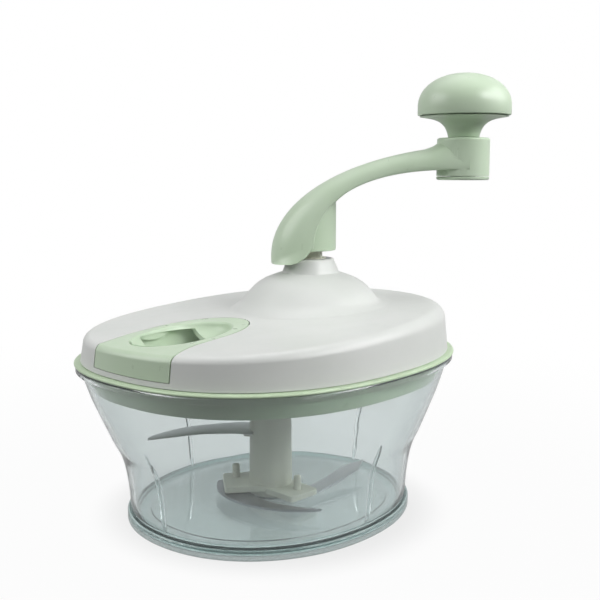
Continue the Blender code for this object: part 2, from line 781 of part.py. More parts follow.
def build_screws(parent):
    for place, (x, y) in enumerate(screw_places()):
        seat = screw_seat()
        head = seat - SCREW_HEAD_HEIGHT
        profile = (
            (0.0, screw_top()),
            (SCREW_RADIUS, screw_top() - SCREW_RADIUS),
            (SCREW_RADIUS, seat),
            (SCREW_HEAD_RADIUS, seat),
            (SCREW_HEAD_RADIUS, head + SCREW_HEAD_HEIGHT / 4),
            (SCREW_HEAD_RADIUS - SCREW_HEAD_HEIGHT / 4, head),
            (0.0, head),
        )
        screw = turned(f"lid_screw_{place + 1}", profile, pin_steel(), parent, SMALL_TURN_STEPS)
        screw.location = (x, y, 0.0)


def well_rings(grow, floor):
    """The separator's oval well, from its floor to above its top surface."""
    rings = []
    for share, height in ((WELL_TAPER_SHARE, floor), (1.0, well_top()), (1.0, 2 * RIM_HEIGHT)):
        ring = []
        for turn in plan_turns(TURN_STEPS):
            x, y = superellipse(turn, WELL_HALF_LENGTH * share + grow, WELL_HALF_WIDTH * share + grow, 2)
            ring.append(Vector((x, y, height)))
        rings.append(ring)
    return rings


def build_separator():
    """The green egg separator: a cap flush with the cover. Its oval well drains through its floor and side."""
    foot = cover_foot() + POCKET_FLOOR + FIT
    body = prism("egg_separator", separator_outline(0.0), foot, 2 * RIM_HEIGHT, green_plastic())
    outside = loft("separator_outside", cover_rings(0.0, 0.0, cover_foot()), None)
    keep_inside(body, outside)
    room = prism("separator_room", separator_outline(-SEPARATOR_WALL), foot - CUT_OVERRUN, 2 * RIM_HEIGHT, None)
    rings = cover_rings(SEPARATOR_WALL, SEPARATOR_WALL, cover_foot())
    inside = loft("separator_inside", rings, None)
    keep_inside(room, inside)
    well_floor = well_top() - WELL_DEPTH
    cup = loft("well_cup", well_rings(WELL_WALL, well_floor - WELL_WALL), None)
    keep_inside(cup, outside)
    well = loft("well_hollow", well_rings(0.0, well_floor), None)
    outline = [(DRAIN_HALF_LENGTH * along, DRAIN_HALF_WIDTH * across) for along, across in SQUARE_SHARES]
    drain = prism("drain_slot", outline, foot, well_top() - DRAIN_ROOF, None)
    for piece in (body, room):
        put_in_pocket(piece)
    for piece in (cup, well):
        put_in_pocket(piece, WELL_FROM_TIP)
    put_in_pocket(drain, drain_from_tip(), DRAIN_ASIDE)
    cut(body, room)
    join(body, cup)
    cut(body, well, drain)
    return body


def involute(angle, base):
    return base * (math.cos(angle) + angle * math.sin(angle)), base * (math.sin(angle) - angle * math.cos(angle))


def gear_outline(teeth, first_turn):
    """Points round a spur gear with involute flanks. A tooth is centred on first_turn, in degrees."""
    pitch = GEAR_MODULE * teeth / 2
    tip = pitch + GEAR_MODULE
    root = pitch - GEAR_MODULE * (1 + TOOTH_TIP_CLEARANCE_SHARE)
    base = pitch * math.cos(math.radians(PRESSURE_ANGLE))
    at_pitch = math.sqrt((pitch / base) ** 2 - 1)
    half = math.pi / 2 / teeth - TOOTH_BACKLASH / pitch + at_pitch - math.atan(at_pitch)
    flank = [(root, half)] if root < base else []
    low = math.sqrt(max((root / base) ** 2 - 1, 0.0))
    high = math.sqrt((tip / base) ** 2 - 1)
    for step in range(FLANK_STEPS):
        x, y = involute(low + (high - low) * step / (FLANK_STEPS - 1), base)
        flank.append((math.hypot(x, y), half - math.atan2(y, x)))
    outline = []
    for tooth in range(teeth):
        centre = math.radians(first_turn) + math.tau * tooth / teeth
        points = [(radius, centre - turn) for radius, turn in flank]
        points += [(radius, centre + turn) for radius, turn in reversed(flank)]
        outline += [(radius * math.cos(turn), radius * math.sin(turn)) for radius, turn in points]
    return outline


def gear_bottom():
    return TRAY_TOP + FIT * 2 + WASHER_THICKNESS


def gear_top():
    return gear_bottom() + GEAR_FACE


def build_gears(crank_frame, spindle_frame):
    low = gear_bottom()
    high = gear_top()
    gear = prism("drive_gear", gear_outline(GEAR_TEETH, 180 - CRANK_ANGLE), low, high, ivory_plastic(), crank_frame)
    root = GEAR_MODULE * (GEAR_TEETH / 2 - 1 - TOOTH_TIP_CLEARANCE_SHARE)
    recess = ring_piece("gear_recess", GEAR_HUB_RADIUS, root - GEAR_RIM_WALL, high - GEAR_WEB_DROP,
                        high + CUT_OVERRUN, None, crank_frame)
    bore_rings = [polygon_ring(4, SHAFT_SQUARE + 2 * FIT, height, TURN_STEPS)
                  for height in (low - CUT_OVERRUN, high + CUT_OVERRUN)]
    bore = loft("gear_bore", bore_rings, None, crank_frame)
    cut(gear, recess, bore)
    half_pitch = 180 / PINION_TEETH
    pinion = prism("pinion", gear_outline(PINION_TEETH, half_pitch), low, high, ivory_plastic(), spindle_frame)
    bore_rings = [polygon_ring(6, SPINDLE_STUB_FLATS + 2 * FIT, height, 24)
                  for height in (low - CUT_OVERRUN, high + CUT_OVERRUN)]
    cut(pinion, loft("pinion_bore", bore_rings, None, spindle_frame))
    washer_low = TRAY_TOP + FIT
    washer_high = washer_low + WASHER_THICKNESS
    ring_piece("gear_washer", SHAFT_FOOT_RADIUS + FIT, WASHER_RADIUS, washer_low, washer_high, pin_steel(),
               crank_frame)


def shaft_shoulder():
    return gear_top() + FIT


def build_crank_shaft(crank_frame):
    """Round foot, square gear seat, round journal in the bush, and the square that the crank arm sits on."""
    low = crank_cup_floor() + FIT
    seat = gear_bottom()
    shoulder = shaft_shoulder()
    square_low = BOSS_TOP + FIT
    top = square_low + SHAFT_SQUARE_LENGTH
    square = SHAFT_SQUARE
    count = TURN_STEPS
    rings = [
        circle_ring(SHAFT_FOOT_RADIUS, low, 0.0, count),
        circle_ring(SHAFT_FOOT_RADIUS, seat, 0.0, count),
        polygon_ring(4, square, seat, count),
        polygon_ring(4, square, shoulder, count),
        circle_ring(SHAFT_RADIUS, shoulder, 0.0, count),
        circle_ring(SHAFT_RADIUS, square_low, 0.0, count),
        polygon_ring(4, square, square_low, count),
        polygon_ring(4, square, top, count),
    ]
    loft("crank_shaft", rings, ivory_plastic(), crank_frame)


def build_crank_bush(parent):
    inner = SHAFT_RADIUS + RUNNING_FIT
    low = BOSS_TOP - BOSS_SLEEVE_DEPTH
    bush = ring_piece("crank_bush", inner, inner + BUSH_WALL, low, BOSS_TOP, pin_steel(), parent)
    bush.location.x = GEAR_CENTRES


def spindle_bush_radius():
    return SPINDLE_RADIUS + RUNNING_FIT + SPINDLE_BUSH_WALL


def build_spindle(lid_frame, spindle_frame):
    """The bush in the tray, the spindle with its hexagon ends, and the clip that holds the pinion on it."""
    bush_top = gear_bottom() - FIT
    ring_piece("spindle_bush", SPINDLE_RADIUS + RUNNING_FIT, spindle_bush_radius(), spindle_boss_bottom(),
               bush_top, pin_steel(), lid_frame)
    count = TURN_STEPS
    drive_top = POST_TOP + FIT
    low = POST_TOP - SPINDLE_DRIVE_LENGTH
    seat = gear_bottom()
    clip_low = gear_top() + FIT
    top = clip_low + SPINDLE_CLIP_THICKNESS + FIT
    stub = SPINDLE_STUB_FLATS
    groove = stub / 2 - FIT * 2
    rings = [
        polygon_ring(6, SPINDLE_FLATS, low, count),
        polygon_ring(6, SPINDLE_FLATS, drive_top, count),
        circle_ring(SPINDLE_RADIUS, drive_top, 0.0, count),
        circle_ring(SPINDLE_RADIUS, seat, 0.0, count),
        polygon_ring(6, stub, seat, count),
        polygon_ring(6, stub, clip_low - FIT, count),
        circle_ring(groove, clip_low - FIT, 0.0, count),
        circle_ring(groove, top, 0.0, count),
        polygon_ring(6, stub, top, count),
        polygon_ring(6, stub, top + SPINDLE_CLIP_THICKNESS, count),
    ]
    loft("drive_spindle", rings, ivory_plastic(), spindle_frame)
    ring_piece("pinion_clip", groove + FIT, stub, clip_low, clip_low + SPINDLE_CLIP_THICKNESS, pin_steel(),
               spindle_frame, SMALL_TURN_STEPS)


def bezier(curve, share):
    first, second, third, last = (Vector(point) for point in curve)
    rest = 1 - share
    return rest ** 3 * first + 3 * rest ** 2 * share * second + 3 * rest * share ** 2 * third + share ** 3 * last


def bezier_value(values, share):
    return bezier([(value, 0.0) for value in values], share).x


def arm_section(back, edge, half_width, wall):
    """A U section from one free edge over the arm's back to the other, then back along its inner side."""
    outward = back - edge
    depth = outward.length
    outward.normalize()
    ring = []
    for layer in (0.0, wall):
        side = []
        for step in range(ARM_SECTION_STEPS + 1):
            turn = math.pi * step / ARM_SECTION_STEPS
            across, out = superellipse(turn, half_width - layer, depth - layer, ARM_POWER)
            place = edge + outward * max(out, 0.0)
            side.append(Vector((place.x, across, BOSS_TOP + place.y)))
        ring += side if layer == 0.0 else reversed(side)
    return ring


def barrel_rings(arm):
    """The barrel's rings: its wall, then its top, which ends within the arm's roof all over."""
    roof = BVHTree.FromPolygons(
        [vertex.co for vertex in arm.data.vertices], [face.vertices[:] for face in arm.data.polygons]
    )
    rings = [circle_ring(BARREL_RADIUS, BARREL_BOTTOM, 0.0, TURN_STEPS)]
    for share in BARREL_TOP_SHARES:
        ring = circle_ring(BARREL_RADIUS * share, 0.0, 0.0, TURN_STEPS)
        for point in ring:
            above = Vector((point.x, point.y, 2 * KNOB_TOP))
            hit = roof.ray_cast(above, Vector((0.0, 0.0, -1.0)))[0]
            point.z = hit.z - ARM_WALL / 2
        rings.append(ring)
    return rings


def build_crank_arm(crank_frame):
    """The hollow arm, swept as a U section, with the barrel that sits on the shaft and the hub for the knob."""
    sections = []
    for back, edge in zip(ARM_FOOT_BACKS, ARM_FOOT_EDGES):
        sections.append(arm_section(Vector(back), Vector(edge), ARM_HALF_WIDTHS[0], ARM_WALL))
    for step in range(ARM_STATIONS + 1):
        share = step / ARM_STATIONS
        back = bezier(ARM_BACK_CURVE, share)
        edge = bezier(ARM_EDGE_CURVE, share)
        sections.append(arm_section(back, edge, bezier_value(ARM_HALF_WIDTHS, share), ARM_WALL))
    arm = loft("crank_arm", sections, green_plastic(), crank_frame)
    barrel = loft("barrel", barrel_rings(arm), None, crank_frame)
    hub_profile = (
        (0.0, HUB_TOP),
        (HUB_RADIUS - HUB_EDGE, HUB_TOP),
        (HUB_RADIUS, HUB_TOP - HUB_EDGE),
        (HUB_RADIUS, HUB_BOTTOM),
        (0.0, HUB_BOTTOM),
    )
    hub = turned("hub", hub_profile, None, crank_frame)
    hub.location.x = CRANK_RADIUS
    join(arm, barrel, hub)
    socket_rings = [polygon_ring(4, SHAFT_SQUARE + 2 * FIT, height, 8)
                    for height in (BARREL_BOTTOM - CUT_OVERRUN, BARREL_BOTTOM + SOCKET_DEPTH)]
    socket = loft("socket", socket_rings, None, crank_frame)
    bore_profile = (
        (0.0, HUB_TOP + CUT_OVERRUN),
        (KNOB_PIN_RADIUS + FIT, HUB_TOP + CUT_OVERRUN),
        (KNOB_PIN_RADIUS + FIT, HUB_BOTTOM + HUB_FLOOR_HEIGHT),
        (KNOB_PIN_HEAD_RADIUS + FIT, HUB_BOTTOM + HUB_FLOOR_HEIGHT),
        (KNOB_PIN_HEAD_RADIUS + FIT, HUB_BOTTOM - CUT_OVERRUN),
        (0.0, HUB_BOTTOM - CUT_OVERRUN),
    )
    bore = turned("hub_bore", bore_profile, None, crank_frame, SMALL_TURN_STEPS)
    bore.location.x = CRANK_RADIUS
    cut(arm, socket, bore)
    plug_profile = (
        (0.0, HUB_BOTTOM + HUB_PLUG_HEIGHT),
        (KNOB_PIN_HEAD_RADIUS, HUB_BOTTOM + HUB_PLUG_HEIGHT),
        (KNOB_PIN_HEAD_RADIUS, HUB_BOTTOM - FIT),
        (HUB_RADIUS, HUB_BOTTOM - FIT),
        (HUB_RADIUS, HUB_BOTTOM - FIT - HUB_EDGE / 2),
        (HUB_RADIUS - HUB_EDGE, HUB_BOTTOM - FIT - HUB_EDGE * 1.5),
        (0.0, HUB_BOTTOM - FIT - HUB_EDGE * 1.5),
    )
    plug = turned("hub_plug", plug_profile, green_plastic(), crank_frame)
    plug.location.x = CRANK_RADIUS
    return arm


def stem_foot():
    return HUB_TOP + RUNNING_FIT


def stem_top():
    return KNOB_RIM + KNOB_PLATE - FIT


def build_knob_pin(crank_frame):
    """The pin that the knob turns on: its head in the hub, its end held by a clip on the knob's stem."""
    head_top = HUB_BOTTOM + HUB_FLOOR_HEIGHT - FIT
    head_low = head_top - KNOB_PIN_HEAD_HEIGHT
    clip_low = stem_top() + FIT
    top = clip_low + CLIP_THICKNESS * 2
    profile = (
        (0.0, top),
        (KNOB_PIN_RADIUS, top),
        (KNOB_PIN_RADIUS, head_top),
        (KNOB_PIN_HEAD_RADIUS, head_top),
        (KNOB_PIN_HEAD_RADIUS, head_low),
        (0.0, head_low),
    )
    pin = turned("knob_pin", profile, pin_steel(), crank_frame, SMALL_TURN_STEPS)
    pin.location.x = CRANK_RADIUS
    clip = ring_piece("knob_clip", KNOB_PIN_RADIUS + FIT, CLIP_RADIUS, clip_low, clip_low + CLIP_THICKNESS,
                      pin_steel(), crank_frame, SMALL_TURN_STEPS)
    clip.location.x = CRANK_RADIUS


def build_knob(knob_frame):
    """The knob's flared stem, and the domed cap pressed over its plate."""
    foot = stem_foot()
    top = stem_top()
    bore = KNOB_PIN_RADIUS + RUNNING_FIT
    plate = KNOB_RADIUS - KNOB_WALL - FIT
    profile = [(bore, top), (plate, top), (plate, KNOB_RIM - FIT)]
    flare = KNOB_RADIUS - KNOB_WALL / 2
    for out, up in reversed(KNOB_FLARE_SHARES):
        radius = KNOB_NECK_RADIUS + (flare - KNOB_NECK_RADIUS) * out
        profile.append((radius, foot + (KNOB_RIM - FIT - foot) * up))
    profile.append((bore, foot))
    turned("knob_stem", profile, green_plastic(), knob_frame)
    dome = KNOB_TOP - KNOB_RIM
    outer = [(KNOB_RADIUS * out, KNOB_RIM + dome * up) for out, up in reversed(KNOB_DOME_SHARES)]
    inner = []
    for out, up in KNOB_DOME_SHARES:
        inner.append(((KNOB_RADIUS - KNOB_WALL) * out, KNOB_RIM + (dome - KNOB_WALL) * up))
    profile = [(0.0, KNOB_TOP)] + outer + inner + [(0.0, KNOB_TOP - KNOB_WALL)]
    turned("knob_cap", profile, green_plastic(), knob_frame)


def plate_outline(turn, reach, width):
    """A blade plate that stands out from the post: its direction in degrees, its reach and its width."""
    along = Vector((math.cos(math.radians(turn)), math.sin(math.radians(turn))))
    across = Vector((-along.y, along.x))
    half = width / 2
    corner = PLATE_EDGE * 2
    points = ((0.0, -half), (reach - corner, -half), (reach, corner - half),
              (reach, half - corner), (reach - corner, half), (0.0, half))
    return [tuple(along * out + across * side) for out, side in points]


def peg_place(side):
    turn = math.radians(LEFT_PEG_ANGLE if side == "left" else RIGHT_PEG_ANGLE)
    return PEG_REACH * math.cos(turn), PEG_REACH * math.sin(turn)


def plate_bottom(side):
    return LEFT_PLATE_BOTTOM if side == "left" else RIGHT_PLATE_BOTTOM


def blade_bottom(side):
    return plate_bottom(side) - FIT - BLADE_THICKNESS


def peg_hole(side):
    low = blade_bottom(side) - CUT_OVERRUN
    high = plate_bottom(side) + PLATE_THICKNESS + CUT_OVERRUN
    hole = rod(f"peg_hole_{side}", PEG_RADIUS + FIT, low, high, None)
    hole.location = (*peg_place(side), 0.0)
    return hole


def build_post(blade_frame):
    """The ivory post: socket on top, bore for the pivot pin below, collar with a blade slot, and two plates."""
    foot = bowl_bottom() + BOWL_FLOOR + PIVOT_BOSS_HEIGHT + POST_GAP
    collar = UPPER_BLADE_HEIGHT + BLADE_THICKNESS / 2
    half = COLLAR_HEIGHT / 2
    bore = PIN_RADIUS + FIT
    bore_top = pin_foot() + PIN_LENGTH + POST_GAP
    profile = (
        (0.0, POST_TOP),
        (POST_TOP_RADIUS, POST_TOP),
        (POST_TOP_RADIUS + (POST_RADIUS - POST_TOP_RADIUS) / 2, collar + half),
        (COLLAR_RADIUS, collar + half),
        (COLLAR_RADIUS, collar - half),
        (POST_RADIUS, collar - half),
        (POST_RADIUS, foot + POST_EDGE),
        (POST_RADIUS - POST_EDGE, foot),
        (0.0, foot),
    )
    post = turned("blade_post", profile, ivory_plastic(), blade_frame)
    outlines = {
        "left": plate_outline(LEFT_PLATE_ANGLE, LEFT_PLATE_REACH, LEFT_PLATE_WIDTH),
        "right": plate_outline(RIGHT_PLATE_ANGLE, RIGHT_PLATE_REACH, RIGHT_PLATE_WIDTH),
    }
    for side, outline in outlines.items():
        low = plate_bottom(side)
        join(post, prism(f"{side}_plate", outline, low, low + PLATE_THICKNESS, None))
    bore_cut = rod("post_bore", bore, foot - CUT_OVERRUN, bore_top, None)
    low = POST_TOP - SPINDLE_DRIVE_LENGTH - FIT
    socket_rings = [polygon_ring(6, SPINDLE_FLATS + 2 * FIT, height, TURN_STEPS)
                    for height in (low, POST_TOP + CUT_OVERRUN)]
    socket = loft("post_socket", socket_rings, None)
    slot_low = UPPER_BLADE_HEIGHT - FIT
    slot_high = UPPER_BLADE_HEIGHT + BLADE_THICKNESS + FIT
    start = UPPER_BLADE_ROOT - BLADE_SLOT_ROOM
    outline = ((start, -COLLAR_RADIUS), (COLLAR_RADIUS * 2, -COLLAR_RADIUS),
               (COLLAR_RADIUS * 2, COLLAR_RADIUS), (start, COLLAR_RADIUS))
    slot = prism("blade_slot", outline, slot_low, slot_high, None)
    slot.rotation_euler = (0.0, 0.0, math.radians(UPPER_BLADE_ANGLE))
    cut(post, bore_cut, socket, slot, peg_hole("left"), peg_hole("right"))
    return post


def build_pegs(blade_frame):
    for side in ("left", "right"):
        low = blade_bottom(side)
        high = plate_bottom(side) + PLATE_THICKNESS + PEG_HEIGHT
        profile = (
            (0.0, high),
            (PEG_RADIUS / 2, high),
            (PEG_RADIUS, high - PEG_RADIUS / 2),
            (PEG_RADIUS, low),
            (0.0, low),
        )
        peg = turned(f"blade_peg_{side}", profile, ivory_plastic(), blade_frame, SMALL_TURN_STEPS)
        peg.location = (*peg_place(side), 0.0)


def blade_loft(name, places, widths, heights, notches, parent):
    """A blade along its centreline: full thickness at the back edge, thin at the cutting edge."""
    rings = []
    for step, place in enumerate(places):
        before = places[max(step - 1, 0)]
        after = places[min(step + 1, len(places) - 1)]
        along = (after - before).normalized()
        across = Vector((-along.y, along.x))
        half = widths[step] / 2
        back = place - across * (half - notches[step])
        edge = place + across * half
        low = heights[step]
        slim = (BLADE_THICKNESS - BLADE_EDGE_THICKNESS) / 2
        rings.append([
            Vector((back.x, back.y, low)),
            Vector((edge.x, edge.y, low + slim)),
            Vector((edge.x, edge.y, low + BLADE_THICKNESS - slim)),
            Vector((back.x, back.y, low + BLADE_THICKNESS)),
        ])
    return loft(name, rings, blade_steel(), parent)


def swept_blade(name, sizes, growth, height, parent):
    """A blade that sweeps round the post from its root radius to its tip radius and narrows to a point."""
    root, tip, angle, sweep, width = sizes
    places, widths = [], []
    for step in range(BLADE_STEPS + 1):
        share = step / BLADE_STEPS
        radius = root + (tip - root) * share ** growth
        turn = math.radians(angle + sweep * share)
        places.append(Vector((radius * math.cos(turn), radius * math.sin(turn))))
        widths.append(max(width * math.sqrt(1 - share), TIP_WIDTH))
    level = [height] * len(places)
    plain = [0.0] * len(places)
    return blade_loft(name, places, widths, level, plain, parent)


def build_blades(blade_frame):
    sizes = (UPPER_BLADE_ROOT, UPPER_BLADE_TIP, UPPER_BLADE_ANGLE, UPPER_BLADE_SWEEP, UPPER_BLADE_WIDTH)
    swept_blade("blade_upper", sizes, 1, UPPER_BLADE_HEIGHT, blade_frame)
    sizes = (CRESCENT_ROOT, CRESCENT_TIP, CRESCENT_ANGLE, CRESCENT_SWEEP, CRESCENT_WIDTH)
    crescent = swept_blade("blade_crescent", sizes, 3, blade_bottom("left"), blade_frame)
    cut(crescent, bpy.data.objects["peg_hole_left"])
    root, tip = Vector(SERRATED_ROOT), Vector(SERRATED_TIP)
    places, widths, heights, notches = [], [], [], []
    for step in range(SERRATED_STEPS + 1):
        share = step / SERRATED_STEPS
        places.append(root.lerp(tip, share))
        widths.append(max(SERRATED_WIDTH * min(1.0, (1 - share) * SERRATED_TAPER), TIP_WIDTH))
        bent = max(share - SERRATED_BEND_SHARE, 0.0) / (1 - SERRATED_BEND_SHARE)
        heights.append(blade_bottom("right") + SERRATED_RISE * bent)
        toothed = step % 2 and TOOTH_SHARES[0] < share < TOOTH_SHARES[1]
        notches.append(TOOTH_DEPTH if toothed else 0.0)
    serrated = blade_loft("blade_serrated", places, widths, heights, notches, blade_frame)
    cut(serrated, bpy.data.objects["peg_hole_right"])


def main():
    clear_scene()
    bowl_frame = empty("bowl_frame", (0.0, 0.0, 0.0))
    lid_frame = empty("lid_frame", (0.0, 0.0, 0.0), parent=bowl_frame)
    crank_frame = empty("crank_axis", (GEAR_CENTRES, 0.0, 0.0), CRANK_ANGLE, lid_frame)
    knob_frame = empty("knob_axis", (CRANK_RADIUS, 0.0, 0.0), parent=crank_frame)
    spindle_frame = empty("spindle_axis", (0.0, 0.0, 0.0), parent=lid_frame)
    blade_frame = empty("blade_axis", (0.0, 0.0, 0.0), parent=bowl_frame)
    for piece in (build_base(), build_bowl()):
        piece.parent = bowl_frame
    build_pivot_pin(bowl_frame)
    for piece in (build_tray(), build_cover(), build_separator()):
        piece.parent = lid_frame
    build_screws(lid_frame)
    build_gears(crank_frame, spindle_frame)
    build_crank_shaft(crank_frame)
    build_crank_bush(lid_frame)
    build_spindle(lid_frame, spindle_frame)
    build_crank_arm(crank_frame)
    build_knob_pin(crank_frame)
    build_knob(knob_frame)
    build_post(blade_frame)
    build_pegs(blade_frame)
    build_blades(blade_frame)


main()
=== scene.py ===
"""A hand-cranked food chopper: clear bowl, green and white lid, hollow green crank with a knob, blades."""

import math

import bmesh
import bpy
from mathutils import Matrix, Vector
from mathutils.bvhtree import BVHTree


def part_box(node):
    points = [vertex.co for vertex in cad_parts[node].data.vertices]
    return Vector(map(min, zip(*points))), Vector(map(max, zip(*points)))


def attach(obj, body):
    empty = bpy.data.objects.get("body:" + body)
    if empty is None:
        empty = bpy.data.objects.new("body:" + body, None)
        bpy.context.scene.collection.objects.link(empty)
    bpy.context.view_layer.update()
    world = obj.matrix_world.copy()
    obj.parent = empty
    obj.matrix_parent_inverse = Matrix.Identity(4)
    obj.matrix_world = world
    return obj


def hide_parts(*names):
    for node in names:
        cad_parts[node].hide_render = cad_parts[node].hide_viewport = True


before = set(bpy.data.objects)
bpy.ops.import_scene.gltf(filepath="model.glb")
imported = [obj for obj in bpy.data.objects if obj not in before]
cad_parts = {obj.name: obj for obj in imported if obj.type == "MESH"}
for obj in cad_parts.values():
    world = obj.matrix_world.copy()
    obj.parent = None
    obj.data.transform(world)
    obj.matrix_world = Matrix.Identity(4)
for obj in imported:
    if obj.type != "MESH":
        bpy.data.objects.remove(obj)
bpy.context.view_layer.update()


# Bowl: injection moulded in clear SAN, a hard plastic with a faint blue-grey body colour. An oval lip flares
# from a steep lower wall with a waist, four short ribs stiffen the wall, and a low boss in the floor holds
# the pivot pin. Mould flow leaves very shallow waves, so that reflections in it are never quite straight.
MM = 0.001
GAP = 0.3 * MM
CUT_PAST = 1.0 * MM
MERGE = 0.004 * MM
ROUND = 144


def foot_of(name):
    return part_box(name)[0].z


def top_of(name):
    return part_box(name)[1].z


rim_half_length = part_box("under_lid")[1].x
rim_half_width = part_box("under_lid")[1].y
rim_power = 2.31
rim_height = top_of("bowl")
bowl_bottom = foot_of("bowl")
bowl_foot_half_length, bowl_foot_half_width, bowl_foot_power = 75.2 * MM, 67.0 * MM, 2.1
bowl_foot_round = 2.2 * MM
bowl_top_inset = 3.1 * MM
bowl_wall, bowl_floor = 2.4 * MM, 3.0 * MM
bowl_lip_drop, bowl_lip_inset, bowl_lip_round = 3.0 * MM, 0.6 * MM, 0.5 * MM
bowl_flare_shares = (
    (0.00, 0.000), (0.16, 0.035), (0.31, 0.106), (0.42, 0.205),
    (0.52, 0.372), (0.63, 0.532), (0.82, 0.800), (1.00, 1.000),
)
bowl_wall_rows = 26
bowl_foot = bowl_bottom + bowl_foot_round
bowl_wall_top = rim_height - bowl_lip_drop
boss_radius, boss_height, boss_round = 7.5 * MM, 1.8 * MM, 0.5 * MM
pin_seat_radius, pin_seat_depth = 2.8 * MM, 2.0 * MM
ledge_inset, ledge_height, ledge_round = 9.5 * MM, 0.5 * MM, 0.35 * MM
ledge_shares = ((0.0, 0.0), (0.3, 0.1), (0.7, 0.9), (1.0, 1.0))
rib_top, rib_thickness, rib_depth = 49.0 * MM, 1.6 * MM, 1.6 * MM
rib_steps, rib_fade = 24, 8
tint_ring_inner, tint_ring_outer = bowl_foot_half_length - 8 * MM, bowl_foot_half_length - 6 * MM
clear_ior = 1.47
cutter_top = 2 * rim_height


def superellipse(turn, half_length, half_width, power):
    across, along = math.cos(turn), math.sin(turn)
    x = half_length * math.copysign(abs(across) ** (2 / power), across)
    y = half_width * math.copysign(abs(along) ** (2 / power), along)
    return x, y


def turns(count=ROUND):
    return [math.tau * step / count for step in range(count)]


def bends(steps, first=0, whole=90):
    """Even steps of a bend, as angles in radians."""
    return [math.radians(whole * step / steps) for step in range(first, steps + 1)]


def arc(steps, first=0):
    """Even steps of a quarter bend, each as 1 - cosine and 1 - sine."""
    return [(1 - math.cos(bend), 1 - math.sin(bend)) for bend in bends(steps, first)]


def smooth_shares(shares, share):
    """A value between given shares, on a smooth monotone curve through them."""
    spans = [(b[1] - a[1]) / (b[0] - a[0]) for a, b in zip(shares, shares[1:])]
    slopes = [spans[0]] + [0.0 if a * b <= 0 else 2 * a * b / (a + b) for a, b in zip(spans, spans[1:])]
    slopes.append(spans[-1])
    for place, ((low, first), (high, second)) in enumerate(zip(shares, shares[1:])):
        if share <= high:
            break
    width = high - low
    t = (share - low) / width
    rise = second - first
    bend = slopes[place] * width * t * (1 - t) ** 2 - slopes[place + 1] * width * t ** 2 * (1 - t)
    return first + rise * t * t * (3 - 2 * t) + bend


def ellipse_ring(half_length, half_width, power, height, count=ROUND):
    return [Vector((*superellipse(turn, half_length, half_width, power), height)) for turn in turns(count)]


def oval(height, inset):
    """The oval that the bowl's lip, the tray's bead and the cover follow."""
    return ellipse_ring(rim_half_length - inset, rim_half_width - inset, rim_power, height)


def circle(radius, height, centre=(0.0, 0.0), count=ROUND):
    return [
        Vector((centre[0] + radius * math.cos(turn), centre[1] + radius * math.sin(turn), height))
        for turn in turns(count)
    ]


def bowl_outline(height, inset=0.0, at_height=None):
    """The outline of the bowl's outer wall at one height, drawn in, and laid at that height or another."""
    share = min(max((height - bowl_foot) / (bowl_wall_top - bowl_foot), 0.0), 1.0)
    flare = smooth_shares(bowl_flare_shares, share)
    length = bowl_foot_half_length + (rim_half_length - bowl_top_inset - bowl_foot_half_length) * flare
    width = bowl_foot_half_width + (rim_half_width - bowl_top_inset - bowl_foot_half_width) * flare
    power = bowl_foot_power + (rim_power - bowl_foot_power) * flare
    return ellipse_ring(length - inset, width - inset, power, height if at_height is None else at_height)


def foot_ring(inset, height):
    """The outline of the bowl's foot, drawn in and laid at a height."""
    return bowl_outline(bowl_foot, inset, height)


def corner_edge(corner, after):
    return next(edge for edge in corner.link_edges if edge.other_vert(corner) == after)


def loop_edges(loop):
    return [corner_edge(corner, after) for corner, after in zip(loop, loop[1:] + loop[:1])]


def first_loop(shape, places):
    """Starts a shape with a circle of edges, whose corners are laid on the given places."""
    made = bmesh.ops.create_circle(shape, segments=len(places), radius=1.0)["verts"]
    loop = sorted(made, key=lambda corner: math.atan2(corner.co.y, corner.co.x) % math.tau)
    for corner, place in zip(loop, places):
        corner.co = place
    return loop


def next_loop(shape, loop, places):
    """Extrudes a loop of edges, and lays the new loop's corners on the given places."""
    grown = bmesh.ops.extrude_edge_only(shape, edges=loop_edges(loop))["geom"]
    fresh = {part for part in grown if isinstance(part, bmesh.types.BMVert)}
    after = [next(e.other_vert(c) for e in c.link_edges if e.other_vert(c) in fresh) for c in loop]
    for corner, place in zip(after, places):
        corner.co = place
    return after


def lofted(rings, tube=False):
    """A closed skin over rings of like count. Its ends are capped, or its last ring runs into its first."""
    shape = bmesh.new()
    first = loop = first_loop(shape, rings[0])
    for places in rings[1:]:
        loop = next_loop(shape, loop, places)
    if tube:
        bmesh.ops.bridge_loops(shape, edges=loop_edges(loop) + loop_edges(first))
    else:
        for end in (first, loop):
            bmesh.ops.contextual_create(shape, geom=loop_edges(end))
    bmesh.ops.recalc_face_normals(shape, faces=shape.faces)
    return shape


def turned(profile, count=96):
    """Spins a profile round +Z. It runs from axis to axis, or is a closed outline beside the axis."""
    shape = bmesh.new()
    corners = [bmesh.ops.create_vert(shape, co=(out, 0.0, height))["vert"][0] for out, height in profile]
    pairs = list(zip(corners, corners[1:]))
    if profile[0][0] > 0 and profile[-1][0] > 0:
        pairs.append((corners[-1], corners[0]))
    for pair in pairs:
        bmesh.ops.contextual_create(shape, geom=list(pair))
    bmesh.ops.spin(shape, geom=list(shape.verts) + list(shape.edges), axis=(0, 0, 1), cent=(0, 0, 0),
                   angle=math.tau, steps=count, use_merge=True)
    bmesh.ops.remove_doubles(shape, verts=shape.verts, dist=MERGE)
    bmesh.ops.recalc_face_normals(shape, faces=shape.faces)
    return shape


